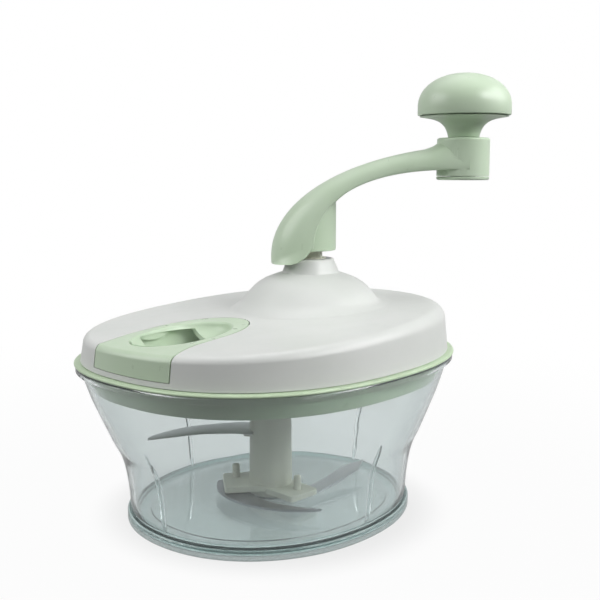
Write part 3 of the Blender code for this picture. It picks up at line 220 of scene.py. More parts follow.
def slab(outline, low, high):
    """A flat outline, raised from one height to another."""
    shape = bmesh.new()
    corners = [bmesh.ops.create_vert(shape, co=(x, y, low))["vert"][0] for x, y in outline]
    face = bmesh.ops.contextual_create(shape, geom=corners)["faces"][0]
    raised = bmesh.ops.extrude_face_region(shape, geom=[face])["geom"]
    top = [part for part in raised if isinstance(part, bmesh.types.BMVert)]
    bmesh.ops.translate(shape, verts=top, vec=(0.0, 0.0, high - low))
    bmesh.ops.recalc_face_normals(shape, faces=shape.faces)
    return shape


def placing(place, turn):
    """Turns by degrees round +Z and moves to a place seen from above."""
    return Matrix.Translation((*place, 0.0)) @ Matrix.Rotation(math.radians(turn), 4, "Z")


def moved(shape, place=(0.0, 0.0), turn=0.0):
    bmesh.ops.transform(shape, matrix=placing(place, turn), verts=shape.verts)
    return shape


def piece(name, shape, smooth=38.0):
    """An object from a shape, at the origin, shaded smooth up to an angle between its faces."""
    mesh = bpy.data.meshes.new(name)
    shape.to_mesh(mesh)
    shape.free()
    mesh.shade_smooth()
    mesh.set_sharp_from_angle(angle=math.radians(smooth))
    obj = bpy.data.objects.new(name, mesh)
    bpy.context.scene.collection.objects.link(obj)
    return obj


def shaded(obj, smooth=38.0):
    """Shades a piece smooth up to an angle, with its large faces kept flat."""
    obj.modifiers.clear()
    obj.data.shade_smooth()
    obj.data.set_sharp_from_angle(angle=math.radians(smooth))
    shading = obj.modifiers.new("Shade by area", "WEIGHTED_NORMAL")
    shading.keep_sharp = True
    return obj


def combined(obj, operation, *tools, smooth=38.0):
    """Cuts, joins or limits a piece by other shapes, one after another."""
    obj.modifiers.clear()
    for place, tool in enumerate(tools):
        helper = piece(f"{obj.name}_tool_{place}", tool)
        step = obj.modifiers.new("Combine", "BOOLEAN")
        step.operation = operation
        step.solver = "EXACT"
        step.object = helper
        bpy.context.view_layer.update()
        done = bpy.data.meshes.new_from_object(obj.evaluated_get(bpy.context.evaluated_depsgraph_get()))
        obj.modifiers.clear()
        obj.data = done
        bpy.data.objects.remove(helper)
    return shaded(obj, smooth)


def colour(code):
    """The linear colour of an sRGB hex value."""
    shares = [int(code[place:place + 2], 16) / 255 for place in (1, 3, 5)]
    return (*[s / 12.92 if s <= 0.04045 else ((s + 0.055) / 1.055) ** 2.4 for s in shares], 1.0)


def add_node(tree, kind, sockets=(), **settings):
    """Adds a node with its settings. A socket takes a value, or another node's output to link to it."""
    made = tree.nodes.new(kind)
    for name, value in settings.items():
        setattr(made, name, value)
    for name, value in dict(sockets).items():
        if isinstance(value, bpy.types.NodeSocket):
            tree.links.new(value, made.inputs[name])
        else:
            made.inputs[name].default_value = value
    return made


def fresh_material(name):
    """A material, its empty tree, and the output that tells where on the piece a point lies."""
    finish = bpy.data.materials.new(name)
    finish.use_nodes = True
    finish.node_tree.nodes.clear()
    return finish, finish.node_tree, add_node(finish.node_tree, "ShaderNodeTexCoord").outputs["Object"]


def noise(tree, where, size, detail=2.0):
    """Noise whose largest marks have about the given real size."""
    sockets = {"Vector": where, "Scale": 1 / size, "Detail": detail}
    return add_node(tree, "ShaderNodeTexNoise", sockets).outputs["Fac"]


def spread(tree, value, low, high, first=0.0, last=1.0, **settings):
    """Lays the range from low to high on the range from first to last."""
    sockets = {"Value": value, "From Min": low, "From Max": high, "To Min": first, "To Max": last}
    return add_node(tree, "ShaderNodeMapRange", sockets, **settings).outputs["Result"]


def two_tones(tree, share, first, second):
    """A colour between two colours. An RGBA Mix node takes them at its inputs 6 and 7."""
    sockets = {"Factor": share, 6: first, 7: second}
    return add_node(tree, "ShaderNodeMix", sockets, data_type="RGBA").outputs[2]


def bumps(tree, height, distance, strength=1.0):
    sockets = {"Height": height, "Distance": distance, "Strength": strength}
    return add_node(tree, "ShaderNodeBump", sockets).outputs["Normal"]


def maths(tree, operation, first, second):
    return add_node(tree, "ShaderNodeMath", {0: first, 1: second}, operation=operation).outputs["Value"]


def principled(finish, sockets):
    """Ends a material in the shader with the given sockets."""
    shader = add_node(finish.node_tree, "ShaderNodeBsdfPrincipled", sockets)
    add_node(finish.node_tree, "ShaderNodeOutputMaterial", {"Surface": shader.outputs["BSDF"]})
    return finish


def mixed_surface(tree, output, share, first, second):
    """Ends a tree in one surface, or by a share in a second."""
    mixed = add_node(tree, "ShaderNodeMixShader", {"Fac": share, 1: first.outputs[0], 2: second.outputs[0]})
    add_node(tree, output, {"Surface": mixed.outputs["Shader"]})


def clear_plastic(name, tint, edge_tint, roughness, clearness, wave_size, wave_height, middle_tint=None):
    """Clear moulded plastic: it bends light, mirrors a little, lets the lamps through to what it holds, and
    shows more of its body colour where one looks along the wall. It may have another tint inside the foot."""
    finish, tree, where = fresh_material(name)
    normal = bumps(tree, noise(tree, where, wave_size, 1.0), wave_height)
    haze = spread(tree, noise(tree, where, 6 * MM, 4.0), 0.35, 0.75, roughness, roughness * 2.2)
    front = colour(tint)
    if middle_tint:
        rounding = (1.0, bowl_foot_half_length / bowl_foot_half_width, 0.0)
        flat = add_node(tree, "ShaderNodeVectorMath", {0: where, 1: rounding}, operation="MULTIPLY")
        away = add_node(tree, "ShaderNodeVectorMath", {0: flat.outputs["Vector"]}, operation="LENGTH")
        ring = spread(tree, away.outputs["Value"], tint_ring_inner, tint_ring_outer, 1.0, 0.0)
        front = two_tones(tree, ring, front, colour(middle_tint))
    along = add_node(tree, "ShaderNodeLayerWeight", {"Blend": 0.5}).outputs["Facing"]
    tone = two_tones(tree, spread(tree, along, 0.45, 0.95), front, colour(edge_tint))
    shader = add_node(tree, "ShaderNodeBsdfPrincipled", {
        "Base Color": tone, "Roughness": haze, "IOR": clear_ior, "Transmission Weight": clearness,
        "Normal": normal})
    through = add_node(tree, "ShaderNodeBsdfTransparent", {"Color": front})
    shadow = add_node(tree, "ShaderNodeLightPath").outputs["Is Shadow Ray"]
    mixed_surface(tree, "ShaderNodeOutputMaterial", shadow, shader, through)
    return finish


def dress(obj, finish, body, node):
    """Gives a piece its material and its body, and hides the CAD node that it stands for."""
    obj.data.materials.clear()
    obj.data.materials.append(finish)
    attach(obj, body)
    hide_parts(node)


def rib(turn):
    """A rib inside the wall, from the floor to where it fades out at the waist."""
    along_x = abs(math.cos(math.radians(turn))) > abs(math.sin(math.radians(turn)))
    low = bowl_bottom + bowl_floor / 2
    outer, inner = [], []
    for step in range(rib_steps + 1):
        share = step / rib_steps
        height = low + (rib_top - low) * share
        corner = bowl_outline(height, bowl_wall)[0 if along_x else ROUND // 4]
        radius = corner.x if along_x else corner.y
        fade = share ** rib_fade
        outer.append((radius + bowl_wall / 2, height))
        inner.append((radius - rib_depth * math.sqrt(1 - fade) + bowl_wall / 4 * fade, height))
    shape = slab(outer + inner[::-1], -rib_thickness / 2, rib_thickness / 2)
    bmesh.ops.transform(shape, matrix=Matrix.Rotation(math.radians(90), 4, "X"), verts=shape.verts)
    return moved(shape, turn=turn)


def bowl_shape():
    floor = bowl_bottom + bowl_floor
    rise = bowl_wall_top - bowl_foot
    heights = [bowl_foot + rise * step / bowl_wall_rows for step in range(bowl_wall_rows + 1)]
    rings = [foot_ring(bowl_foot_round, bowl_bottom)]
    rings += [foot_ring(bowl_foot_round * inward, bowl_bottom + bowl_foot_round * up)
              for up, inward in arc(4, 1)[:-1]]
    rings += [bowl_outline(height) for height in heights]
    rings += [oval(bowl_wall_top, bowl_lip_inset + bowl_lip_round),
              oval(bowl_wall_top + bowl_lip_round, bowl_lip_inset),
              oval(rim_height - bowl_lip_round, bowl_lip_inset),
              oval(rim_height, bowl_lip_inset + bowl_lip_round),
              bowl_outline(bowl_wall_top, bowl_wall - bowl_lip_round, rim_height),
              bowl_outline(bowl_wall_top, bowl_wall, rim_height - bowl_lip_round)]
    rings += [bowl_outline(height, bowl_wall) for height in heights[::-1] if height > floor + 2 * bowl_wall]
    rings += [foot_ring(bowl_wall + bowl_wall * inward, floor + bowl_wall * up) for inward, up in arc(4)]
    rings += [foot_ring(ledge_inset + ledge_round * 2 * inward, floor + ledge_height * up)
              for inward, up in ledge_shares]
    top, raised = floor + boss_height, floor + ledge_height
    rings += [circle(boss_radius + boss_round, raised), circle(boss_radius, raised + boss_round / 2),
              circle(boss_radius, top - boss_round), circle(boss_radius - boss_round, top),
              circle(pin_seat_radius, top), circle(pin_seat_radius, floor - pin_seat_depth)]
    return lofted(rings)


san = clear_plastic("clear_moulded_san", "#eff4f4", "#cdd9d9", 0.015, 0.92, 14 * MM, 0.05 * MM)
bowl = piece("clear_bowl", bowl_shape())
combined(bowl, "UNION", *[rib(turn) for turn in (0.0, 90.0, 180.0, 270.0)])
dress(bowl, san, "bowl_body", "bowl")


# Non-slip base: a shallow cup of clear, slightly blue soft PVC that the bowl's foot is pressed into. Its
# upper edge is rounded and its underside is lightly frosted, so it is hazier than the bowl.
cup_floor, cup_wall, cup_edge = 1.6 * MM, 1.6 * MM, 1.0 * MM
cup_height = top_of("non_slip_base")
cup_edge_steps = 4
cup_recess_inset, cup_recess_depth = 10.5 * MM, 0.7 * MM


def cup_shape():
    outer, lip, corner = -(GAP + cup_wall), cup_wall / 2, bowl_foot_round + GAP
    rings = [foot_ring(cup_recess_inset + cup_recess_depth / 2, cup_recess_depth),
             foot_ring(cup_recess_inset, 0.0)]
    rings += [foot_ring(outer + cup_edge * inward, cup_edge * up) for up, inward in arc(cup_edge_steps)]
    rings += [foot_ring(-GAP - lip - lip * math.cos(bend), cup_height - lip + lip * math.sin(bend))
              for bend in bends(2 * cup_edge_steps, whole=180)]
    rings += [foot_ring(-GAP + corner * inward, cup_floor + corner * up)
              for inward, up in arc(cup_edge_steps)]
    return lofted(rings)


soft_pvc = clear_plastic("clear_soft_pvc", "#cfe5e3", "#bdd8d6", 0.10, 0.84, 9 * MM, 0.012 * MM, "#eef1f0")
dress(piece("clear_base_cup", cup_shape()), soft_pvc, "bowl_body", "non_slip_base")


# Pivot pin and the other small steel parts: turned stainless steel, plain, with the fine rings that the
# turning tool leaves. The pin stands in the bowl's boss, and the blade post turns on it.
ring_size = 0.8 * MM
rings_per_scale = 20


def turned_steel(name, place=(0.0, 0.0)):
    """Steel turned about an upright axis at a place seen from above."""
    finish, tree, where = fresh_material(name)
    there = add_node(tree, "ShaderNodeMapping", {"Vector": where, "Location": (-place[0], -place[1], 0.0)})
    there = there.outputs["Vector"]
    rings = add_node(tree, "ShaderNodeTexWave", {"Vector": there, "Scale": 1 / ring_size / rings_per_scale,
                                                 "Distortion": 0.6, "Detail": 2.0},
                     wave_type="RINGS", rings_direction="Z")
    lines = noise(tree, there, 0.5 * MM)
    height = maths(tree, "ADD", rings.outputs["Fac"], lines)
    return principled(finish, {"Base Color": colour("#c3c4c6"), "Metallic": 1.0,
                               "Roughness": spread(tree, lines, 0.0, 1.0, 0.22, 0.40),
                               "Normal": bumps(tree, height, 0.01 * MM, 0.6)})


def place_of(name):
    """Where the axis of a round CAD piece stands, seen from above."""
    low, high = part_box(name)
    return ((low + high) / 2).xy[:]


def radius_of(name):
    low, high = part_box(name)
    return (high.x - low.x) / 2


def finish_nodes(finish, *names):
    for name in names:
        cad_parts[name].data.materials.clear()
        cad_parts[name].data.materials.append(finish)


crank_place, knob_place = place_of("crank_bush"), place_of("hub_plug")
finish_nodes(turned_steel("turned_steel_pivot"), "pivot_pin")


# Tray of the lid: pastel green ABS. Its bead lies on the bowl's lip, and its skirt closes the bowl from
# inside. It carries the two bearings, and has an opening for what drains from the egg separator. ABS straight
# from a polished mould has a satin gloss, faint cloudiness in its colour and a very fine skin texture.
tray_top = foot_of("lid_cover") - GAP
tray_thickness = 2.0 * MM
tray_seat = rim_height + GAP
bead_edge, bead_width, bead_steps = 0.6 * MM, 1.6 * MM, 5
skirt_depth, skirt_wall, skirt_gap, skirt_round = 11.0 * MM, 2.0 * MM, 0.4 * MM, 0.5 * MM
skirt_foot_shares = (0.0, 0.33, 0.67, 1.0)
cover_foot_inset, cover_wall = 3.0 * MM, 2.0 * MM
spindle_boss_radius, spindle_boss_low = 9.2 * MM, foot_of("spindle_bush")
crank_cup_radius, crank_cup_floor, crank_foot_radius = 7.5 * MM, 1.4 * MM, 4.3 * MM
feed_half_length, feed_half_width, feed_corner = 13.0 * MM, 8.0 * MM, 1.5 * MM
feed_place, feed_turn = (-63.4 * MM, 4.4 * MM), 5.5
screw_names = ("lid_screw_1", "lid_screw_2", "lid_screw_3", "lid_screw_4")
screw_hole_radius = 1.8 * MM


def moulded(name, tone, shade, roughness=0.3, ior=1.53, cloud=22 * MM):
    """Satin moulded plastic in one tone, that drifts a little towards a second one."""
    finish, tree, where = fresh_material(name)
    drift = spread(tree, noise(tree, where, cloud, 3.0), 0.35, 0.7)
    gloss = spread(tree, noise(tree, where, 7 * MM, 5.0), 0.3, 0.7, roughness - 0.03, roughness + 0.06)
    return principled(finish, {"Base Color": two_tones(tree, drift, colour(tone), colour(shade)),
                               "Roughness": gloss, "IOR": ior,
                               "Normal": bumps(tree, noise(tree, where, 0.6 * MM), 0.006 * MM)})


def tray_shape():
    bottom = rim_height - skirt_depth
    skirt = bowl_wall + skirt_gap
    rings = [bowl_outline(bowl_wall_top, skirt + skirt_wall, tray_top - tray_thickness)]
    for share in skirt_foot_shares:
        bend = math.radians(180 * share)
        away = skirt + GAP + skirt_wall / 2 * (1 + math.cos(bend))
        rings.append(bowl_outline(bottom, away, bottom + skirt_round * (1 - math.sin(bend))))
    for share in skirt_foot_shares[1:3]:
        height = bottom + (tray_seat - bottom) * share
        rings.append(bowl_outline(height, skirt, height))
    rings += [bowl_outline(bowl_wall_top, skirt, tray_seat), oval(tray_seat, bead_edge)]
    rings += [oval(tray_seat + bead_edge * up, bead_edge * inward) for up, inward in arc(bead_steps, 1)]
    height = tray_top - tray_seat - bead_edge
    rings += [oval(tray_seat + bead_edge + height * math.sin(bend), bead_width * (1 - math.cos(bend)))
              for bend in bends(bead_steps, 1)]
    rings.append(oval(tray_top, cover_foot_inset + cover_wall + GAP))
    return lofted(rings)


def rod(radius, low, high, place=(0.0, 0.0), count=48):
    return moved(turned([(0.0, high), (radius, high), (radius, low), (0.0, low)], count), place)


def rectangle(x_low, x_high, half_width):
    return [(x_low, -half_width), (x_high, -half_width), (x_high, half_width), (x_low, half_width)]


def rounded(shape, edges, radius, segments):
    bmesh.ops.bevel(shape, geom=edges, offset=radius, offset_type="OFFSET", segments=segments, profile=0.5,
                    affect="EDGES", material=-1, clamp_overlap=True)
    return shape


def upright_edges(shape, beyond=-math.inf):
    """The upright edges of a slab that stand beyond a place along +X."""
    return [edge for edge in shape.edges
            if edge.verts[0].co.x > beyond and abs(edge.verts[0].co.z - edge.verts[1].co.z) > MM / 2]


def feed_shape(low, high):
    shape = slab(rectangle(-feed_half_length, feed_half_length, feed_half_width), low, high)
    return moved(rounded(shape, upright_edges(shape), feed_corner, 5), feed_place, feed_turn)


green_abs = moulded("green_moulded_abs", "#cfe1c8", "#cadec2")
# The tray's copy of the green ABS is a little more saturated than the other green parts: painted shade,
# standing in for the interreflected shade on its skirt.
tray_abs_painted_shade = moulded("green_moulded_abs_tray", "#cbe0bf", "#c4dab7")
tray = piece("green_lid_tray", tray_shape())
inside, below, above = tray_top - tray_thickness / 2, tray_top - 2 * tray_thickness, tray_top + CUT_PAST
combined(tray, "UNION", rod(spindle_boss_radius, spindle_boss_low, inside),
         rod(crank_cup_radius, foot_of("crank_shaft") - crank_cup_floor, inside, crank_place))
combined(tray, "DIFFERENCE", rod(radius_of("spindle_bush") + GAP, spindle_boss_low - CUT_PAST, above),
         rod(crank_foot_radius, foot_of("crank_shaft") - GAP, above, crank_place), feed_shape(below, above),
         *[rod(screw_hole_radius, below, above, place_of(name), 24) for name in screw_names])
dress(tray, tray_abs_painted_shade, "lid", "under_lid")


# Lid cover: white ABS, moulded in one piece with its dome, the boss that holds the crank's bearing, the posts
# for the four screws, and the pocket that the egg separator lies in. Its top slopes down towards the pocket.
cover_foot = tray_top + GAP
cover_draft = 1.5 * MM
cover_mid_height, cover_slope, cover_lean = 20.2 * MM, 0.054, -0.022
cover_small_edge, cover_large_edge, cover_edge_steps = 3.5 * MM, 8.5 * MM, 9
dome_foot_radius = 44.0 * MM
dome_places = (
    (37.5 * MM, 24.7 * MM), (33.0 * MM, 29.9 * MM), (28.9 * MM, 33.8 * MM), (24.75 * MM, 36.4 * MM),
)
dome_shoulder, dome_shoulder_bow = (15.4 * MM, 39.8 * MM), 0.16
dome_steps, cone_steps = 14, 3
boss_outer, boss_top, boss_edge, boss_edge_steps = 12.8 * MM, top_of("crank_bush"), 1.2 * MM, 3
sleeve_low, sleeve_bore, sleeve_wall = foot_of("crank_bush"), radius_of("crank_bush") + GAP, 2.0 * MM
separator_tip, separator_yaw = (-15.6 * MM, 9.0 * MM), 5.5
separator_half_width, separator_round, separator_steps = 24.4 * MM, 36.0 * MM, 56
flare_start, flare_length, flare_width, flare_steps = 53.0 * MM, 27.0 * MM, 8.0 * MM, 14
taper_width = 7.5 * MM
pocket_wall, pocket_floor = 1.6 * MM, 2.3 * MM
screw_post_radius = 4.0 * MM


def cover_plane(x, y, drop=0.0):
    return rim_height + cover_mid_height + cover_slope * x + cover_lean * y - drop


def cover_rings(inset):
    """The cover's wall and rounded top edge, drawn in and down. The edge is largest at the crank's end."""
    rings = [oval(cover_foot, cover_foot_inset + inset)]
    for inward, down in arc(cover_edge_steps):
        ring = []
        for turn in turns():
            edge = cover_small_edge + (cover_large_edge - cover_small_edge) * (1 + math.cos(turn)) / 2
            deep = cover_foot_inset + cover_draft + inset + edge * inward
            x, y = superellipse(turn, rim_half_length - deep, rim_half_width - deep, rim_power)
            ring.append(Vector((x, y, cover_plane(x, y, inset) - edge * down)))
        rings.append(ring)
    return rings


def dome_rings(inset):
    """The dome's hollow-curved skirt, which grows out of the sloping top, and the cone above its crease."""
    foot, (first_radius, first_height) = dome_foot_radius, dome_places[-1]
    rings = [[] for _ in range(dome_steps + 1)]
    for turn in turns():
        along, across = math.cos(turn), math.sin(turn)
        places = [(0.0, cover_plane(crank_place[0] + foot * along, foot * across))]
        places += [(foot - radius, rim_height + height) for radius, height in dome_places]
        for step, ring in enumerate(rings):
            gone = (foot - first_radius) * step / dome_steps
            radius = foot - gone - inset
            height = smooth_shares(places, gone) - inset
            ring.append(Vector((crank_place[0] + radius * along, radius * across, height)))
    for step in range(1, cone_steps + 1):
        share = step / cone_steps
        radius = first_radius + (dome_shoulder[0] - first_radius) * share - inset
        up = share + dome_shoulder_bow * share * (1 - share)
        height = rim_height + first_height + (dome_shoulder[1] - first_height) * up - inset
        rings.append(circle(radius, height, crank_place))
    return rings


def separator_outline(grow):
    """The separator's outline, from its round tip at the origin to beyond the rim. One side flares out."""
    half = separator_half_width + grow
    length = separator_round + grow
    outline = [(-rim_half_length, -half - flare_width)]
    for step in range(flare_steps, -1, -1):
        share = step / flare_steps
        outline.append((-flare_start - flare_length * share, -half - flare_width * share ** 2))
    for step in range(separator_steps + 1):
        turn = math.pi * (step / separator_steps - 0.5)
        outline.append((length * math.cos(turn) - separator_round, half * math.sin(turn)))
    outline += [(-flare_start, half), (-rim_half_length, half - taper_width)]
    return outline


def in_pocket_place(from_tip, aside=0.0):
    turn = math.radians(separator_yaw)
    x = separator_tip[0] - from_tip * math.cos(turn) - aside * math.sin(turn)
    y = separator_tip[1] - from_tip * math.sin(turn) + aside * math.cos(turn)
    return x, y


def in_pocket(shape, from_tip=0.0, aside=0.0):
    return moved(shape, in_pocket_place(from_tip, aside), separator_yaw)


def pocket_shape(grow, low):
    """All that stands above a height inside the separator's outline, grown or shrunk."""
    return in_pocket(slab(separator_outline(grow), low, cutter_top))


def cover_shape():
    sleeve = sleeve_bore + sleeve_wall
    inner_dome = dome_rings(cover_wall)
    rings = cover_rings(0.0) + dome_rings(0.0)
    rings += [circle(boss_outer - boss_edge * inward, boss_top - boss_edge * down, crank_place)
              for inward, down in arc(boss_edge_steps)]
    rings += [circle(sleeve_bore, boss_top, crank_place), circle(sleeve_bore, sleeve_low, crank_place),
              circle(sleeve, sleeve_low, crank_place), circle(sleeve, inner_dome[-1][0].z, crank_place)]
    rings += reversed(inner_dome[:-1])
    rings += reversed(cover_rings(cover_wall))
    return lofted(rings, tube=True)


def within_cover(name, shape, inset):
    """A piece from what of a shape lies inside the cover, drawn in by an inset."""
    return combined(piece(name, shape), "INTERSECT", lofted(cover_rings(inset)))


def shape_of(obj):
    """Takes a piece's mesh back as a shape, and removes the piece."""
    shape = bmesh.new()
    shape.from_mesh(obj.data)
    bpy.data.objects.remove(obj)
    return shape


cover = piece("white_lid_cover", cover_shape())
lining = within_cover("lining", pocket_shape(GAP + pocket_wall, cover_foot), cover_wall / 2)
combined(cover, "UNION", shape_of(lining),
         *[rod(screw_post_radius, cover_foot, cover_plane(*place_of(name), cover_wall / 2), place_of(name))
           for name in screw_names])
combined(cover, "DIFFERENCE", pocket_shape(GAP, cover_foot + pocket_floor),
         feed_shape(cover_foot - CUT_PAST, cover_foot + 2 * pocket_floor),
         *[rod(screw_hole_radius, cover_foot - CUT_PAST, top_of(name) + GAP, place_of(name), 24)
           for name in screw_names])
white_abs = moulded("white_moulded_abs", "#e3e5e2", "#dee1dd", 0.34, cloud=35 * MM)
dress(cover, white_abs, "lid", "lid_cover")


# Egg separator: a loose cap of the same green ABS that lies in the cover's pocket, flush with its top. A yolk
# stays in the oval well, and the white runs out through a slot in the well's floor and far side.
separator_low = foot_of("egg_separator")
separator_wall, separator_slack = 2.0 * MM, 0.4 * MM
well_from_tip = 40.0 * MM
well_half_length, well_half_width, well_corners = 28.5 * MM, 19.0 * MM, 96
well_depth, well_wall, well_taper_share, well_bow = 9.6 * MM, 1.8 * MM, 0.66, 1.2
well_round, well_rows, well_round_steps = 1.4 * MM, 8, 5
well_top = cover_plane(*in_pocket_place(well_from_tip))
drain_half_length, drain_half_width, drain_corner = 16.5 * MM, 12.5 * MM, 2.0 * MM
drain_aside, drain_roof, drain_place_share = 6.5 * MM, 2.0 * MM, 0.18
sliver_size, sliver_angle = 0.06 * MM, 0.3


def well_ring(share, grow, height):
    length, width = well_half_length * share + grow, well_half_width * share + grow
    return ellipse_ring(length, width, 2, height, well_corners)


def well_shape(grow, floor, mouth):
    """The oval well: a bowed wall from its floor to its mouth, which opens out with a rounded edge."""
    rings = []
    for step, bend in enumerate(bends(well_rows)):
        share = well_taper_share + (1 - well_taper_share) * math.sin(bend) ** well_bow
        height = floor + (well_top - floor) * (step / well_rows) - (mouth if step == well_rows else 0)
        rings.append(well_ring(share, grow, height))
    rings += [well_ring(1.0, mouth * outward + grow, well_top - mouth * down)
              for outward, down in arc(well_round_steps, 1)]
    for ring in rings[-well_round_steps - 1:]:
        for point in ring:
            point.z += cover_slope * point.x + cover_lean * point.y
    rings.append([Vector((point.x, point.y, cutter_top)) for point in rings[-1]])
    return in_pocket(lofted(rings), well_from_tip)


def drain_shape():
    shape = slab(rectangle(-drain_half_length, drain_half_length, drain_half_width), separator_low,
                 well_top - drain_roof)
    rounded(shape, upright_edges(shape), drain_corner, 6)
    return in_pocket(shape, well_from_tip - well_half_length * drain_place_share, drain_aside)


def without_slivers(obj):
    """Merges the close corners that cutting has left in a piece."""
    shape = bmesh.new()
    shape.from_mesh(obj.data)
    bmesh.ops.dissolve_limit(shape, angle_limit=math.radians(sliver_angle), verts=shape.verts,
                             edges=shape.edges)
    bmesh.ops.dissolve_degenerate(shape, dist=sliver_size, edges=shape.edges)
    shape.to_mesh(obj.data)
    shape.free()
    return shaded(obj)


separator = within_cover("green_egg_separator", pocket_shape(-separator_slack, separator_low), 0.0)
room = pocket_shape(-separator_wall - separator_slack, separator_low - CUT_PAST)
room = within_cover("separator_room", room, separator_wall)
well_cup = well_shape(well_wall, well_top - well_depth - well_wall, 0.0)
well_cup = within_cover("well_cup", well_cup, cover_wall / 2)
combined(separator, "DIFFERENCE", shape_of(room))
combined(separator, "UNION", shape_of(well_cup))
combined(separator, "DIFFERENCE", well_shape(0.0, well_top - well_depth, well_round), drain_shape())
dress(without_slivers(separator), green_abs, "separator", "egg_separator")


# Inside the lid: steel screws, bushes and a washer, and a train of two natural POM gears between the crank
# and the blade spindle. They come from the same stock as the pivot pin and the post.
ivory_pom = moulded("ivory_moulded_pom", "#e8e7d9", "#e3e3d4", 0.38, 1.48, 18 * MM)
finish_nodes(ivory_pom, "drive_gear", "pinion", "drive_spindle")
finish_nodes(turned_steel("turned_steel_crank", crank_place), "crank_bush", "gear_washer")
finish_nodes(turned_steel("turned_steel_spindle"), "spindle_bush", "pinion_clip")
for name in screw_names:
    finish_nodes(turned_steel(f"turned_steel_{name}", place_of(name)), name)


# Crank shaft: moulded in ivory POM, round where it turns in its bush and square where the arm is pushed on.
# Between the boss and the arm a little of the square shows, with its corners broken.
shaft_half_square, shaft_corner, shaft_points = 6.0 * MM, 0.7 * MM, 32
shaft_radius, shaft_foot_radius = 8.5 * MM, 4.0 * MM
crank_turn = math.degrees(math.atan2(knob_place[1] - crank_place[1], knob_place[0] - crank_place[0]))
gear_low, gear_high = foot_of("drive_gear"), top_of("drive_gear")


def rounded_square(half, corner, height):
    """A square with rounded corners, of as many points as the shaft's circles."""
    ring = []
    eighth = math.radians(45)
    for turn in turns(shaft_points):
        diagonal = eighth + round((turn - eighth) / math.radians(90)) * math.radians(90)
        bend = diagonal + max(-1.0, min(1.0, (turn - diagonal) / eighth)) * eighth
        x = math.copysign(half - corner, math.cos(diagonal)) + corner * math.cos(bend)
        y = math.copysign(half - corner, math.sin(diagonal)) + corner * math.sin(bend)
        ring.append(Vector((x, y, height)))
    return ring


def shaft_shape():
    half, corner, high = shaft_half_square, shaft_corner, top_of("crank_shaft")
    gear_seat, boss_seat = gear_high + GAP, boss_top + GAP
    low = foot_of("crank_shaft")
    rings = [circle(shaft_foot_radius, height, count=shaft_points) for height in (low, gear_low)]
    rings += [rounded_square(half, corner, height) for height in (gear_low, gear_seat)]
    rings += [circle(shaft_radius, height, count=shaft_points) for height in (gear_seat, boss_seat)]
    rings += [rounded_square(half, corner, height) for height in (boss_seat, high - corner)]
    rings.append(rounded_square(half - corner, corner / 4, high))
    return moved(lofted(rings), crank_place, crank_turn)


dress(piece("ivory_crank_shaft", shaft_shape()), ivory_pom, "crank", "crank_shaft")


# Crank arm: a hollow green ABS moulding, open below, whose wide foot stands over the boss and whose tail runs
# into the round hub of the knob. A barrel inside the foot sits on the shaft's square.
arm_wall = 2.2 * MM
arm_back_curve = (
    (-21.2 * MM, -2.1 * MM), (-24.0 * MM, 28.7 * MM), (15.0 * MM, 54.7 * MM), (76.5 * MM, 59.7 * MM),
)
arm_edge_curve = (
    (3.0 * MM, 6.7 * MM), (4.0 * MM, 30.7 * MM), (26.0 * MM, 47.7 * MM), (76.5 * MM, 47.1 * MM),
)
arm_half_widths = (17.8 * MM, 17.8 * MM, 9.0 * MM, 13.7 * MM)
arm_foot_backs = ((-20.9 * MM, -2.55 * MM), (-21.05 * MM, -2.4 * MM), (-21.15 * MM, -2.25 * MM))
arm_foot_edges = ((-8.0 * MM, -2.1 * MM), (-4.6 * MM, -1.0 * MM), (-1.5 * MM, 1.3 * MM))
arm_stations, arm_section_steps, arm_power = 44, 30, 2.3
arm_end_length, arm_end_half_width, arm_end_steps = 6.2 * MM, 14.1 * MM, 8
arm_ramp_start, arm_ramp_length, arm_ramp_height = 61.0 * MM, 10.0 * MM, 3.6 * MM
barrel_radius, barrel_low, barrel_edge, barrel_points = 13.7 * MM, boss_top + 4.4 * MM, 0.8 * MM, 64
socket_depth = 18.0 * MM
hub_radius = radius_of("hub_plug")
hub_low, hub_length, hub_edge = boss_top + 44.0 * MM, 19.7 * MM, 1.2 * MM
hub_top = hub_low + hub_length
hub_edge_degrees = (0, 22, 45, 68, 90)
hub_bore, hub_recess, hub_floor = 3.3 * MM, 6.8 * MM, 5.0 * MM


def bezier(curve, share):
    """A point along a cubic curve, from the curve's four control points."""
    a, b, c, d = (Vector(point) for point in curve)
    rest = 1 - share
    return rest ** 3 * a + 3 * rest ** 2 * share * b + 3 * rest * share ** 2 * c + share ** 3 * d


def arm_section(back, edge, half_width):
    """A U section over the arm's back, with a wall of even thickness and rounded free edges."""
    outward = back - edge
    depth = outward.length
    outward.normalize()
    lip = arm_wall / 2
    half_turn = [math.pi * step / arm_section_steps for step in range(arm_section_steps + 1)]
    section = []

    def add(points):
        for across, out in points:
            place = edge + outward * out
            section.append(Vector((place.x, across, boss_top + place.y)))

    for layer, sign in ((0.0, -1), (arm_wall, 1)):
        side = [superellipse(turn, half_width - layer, depth - lip - layer, arm_power)
                for turn in half_turn[::-sign]]
        add((across, max(out, 0.0) + lip) for across, out in side)
        end = [(sign * (half_width - lip + lip * math.cos(bend)), lip - lip * math.sin(bend))
               for bend in bends(4, 1, 180)[:-1]]
        add(end[::-sign])
    return section


def arm_ramp(back):
    """The rise of the arm's back into the top of the hub."""
    share = min(max((back.x - arm_ramp_start) / arm_ramp_length, 0.0), 1.0)
    return Vector((0.0, arm_ramp_height * share ** 2 * (3 - 2 * share)))


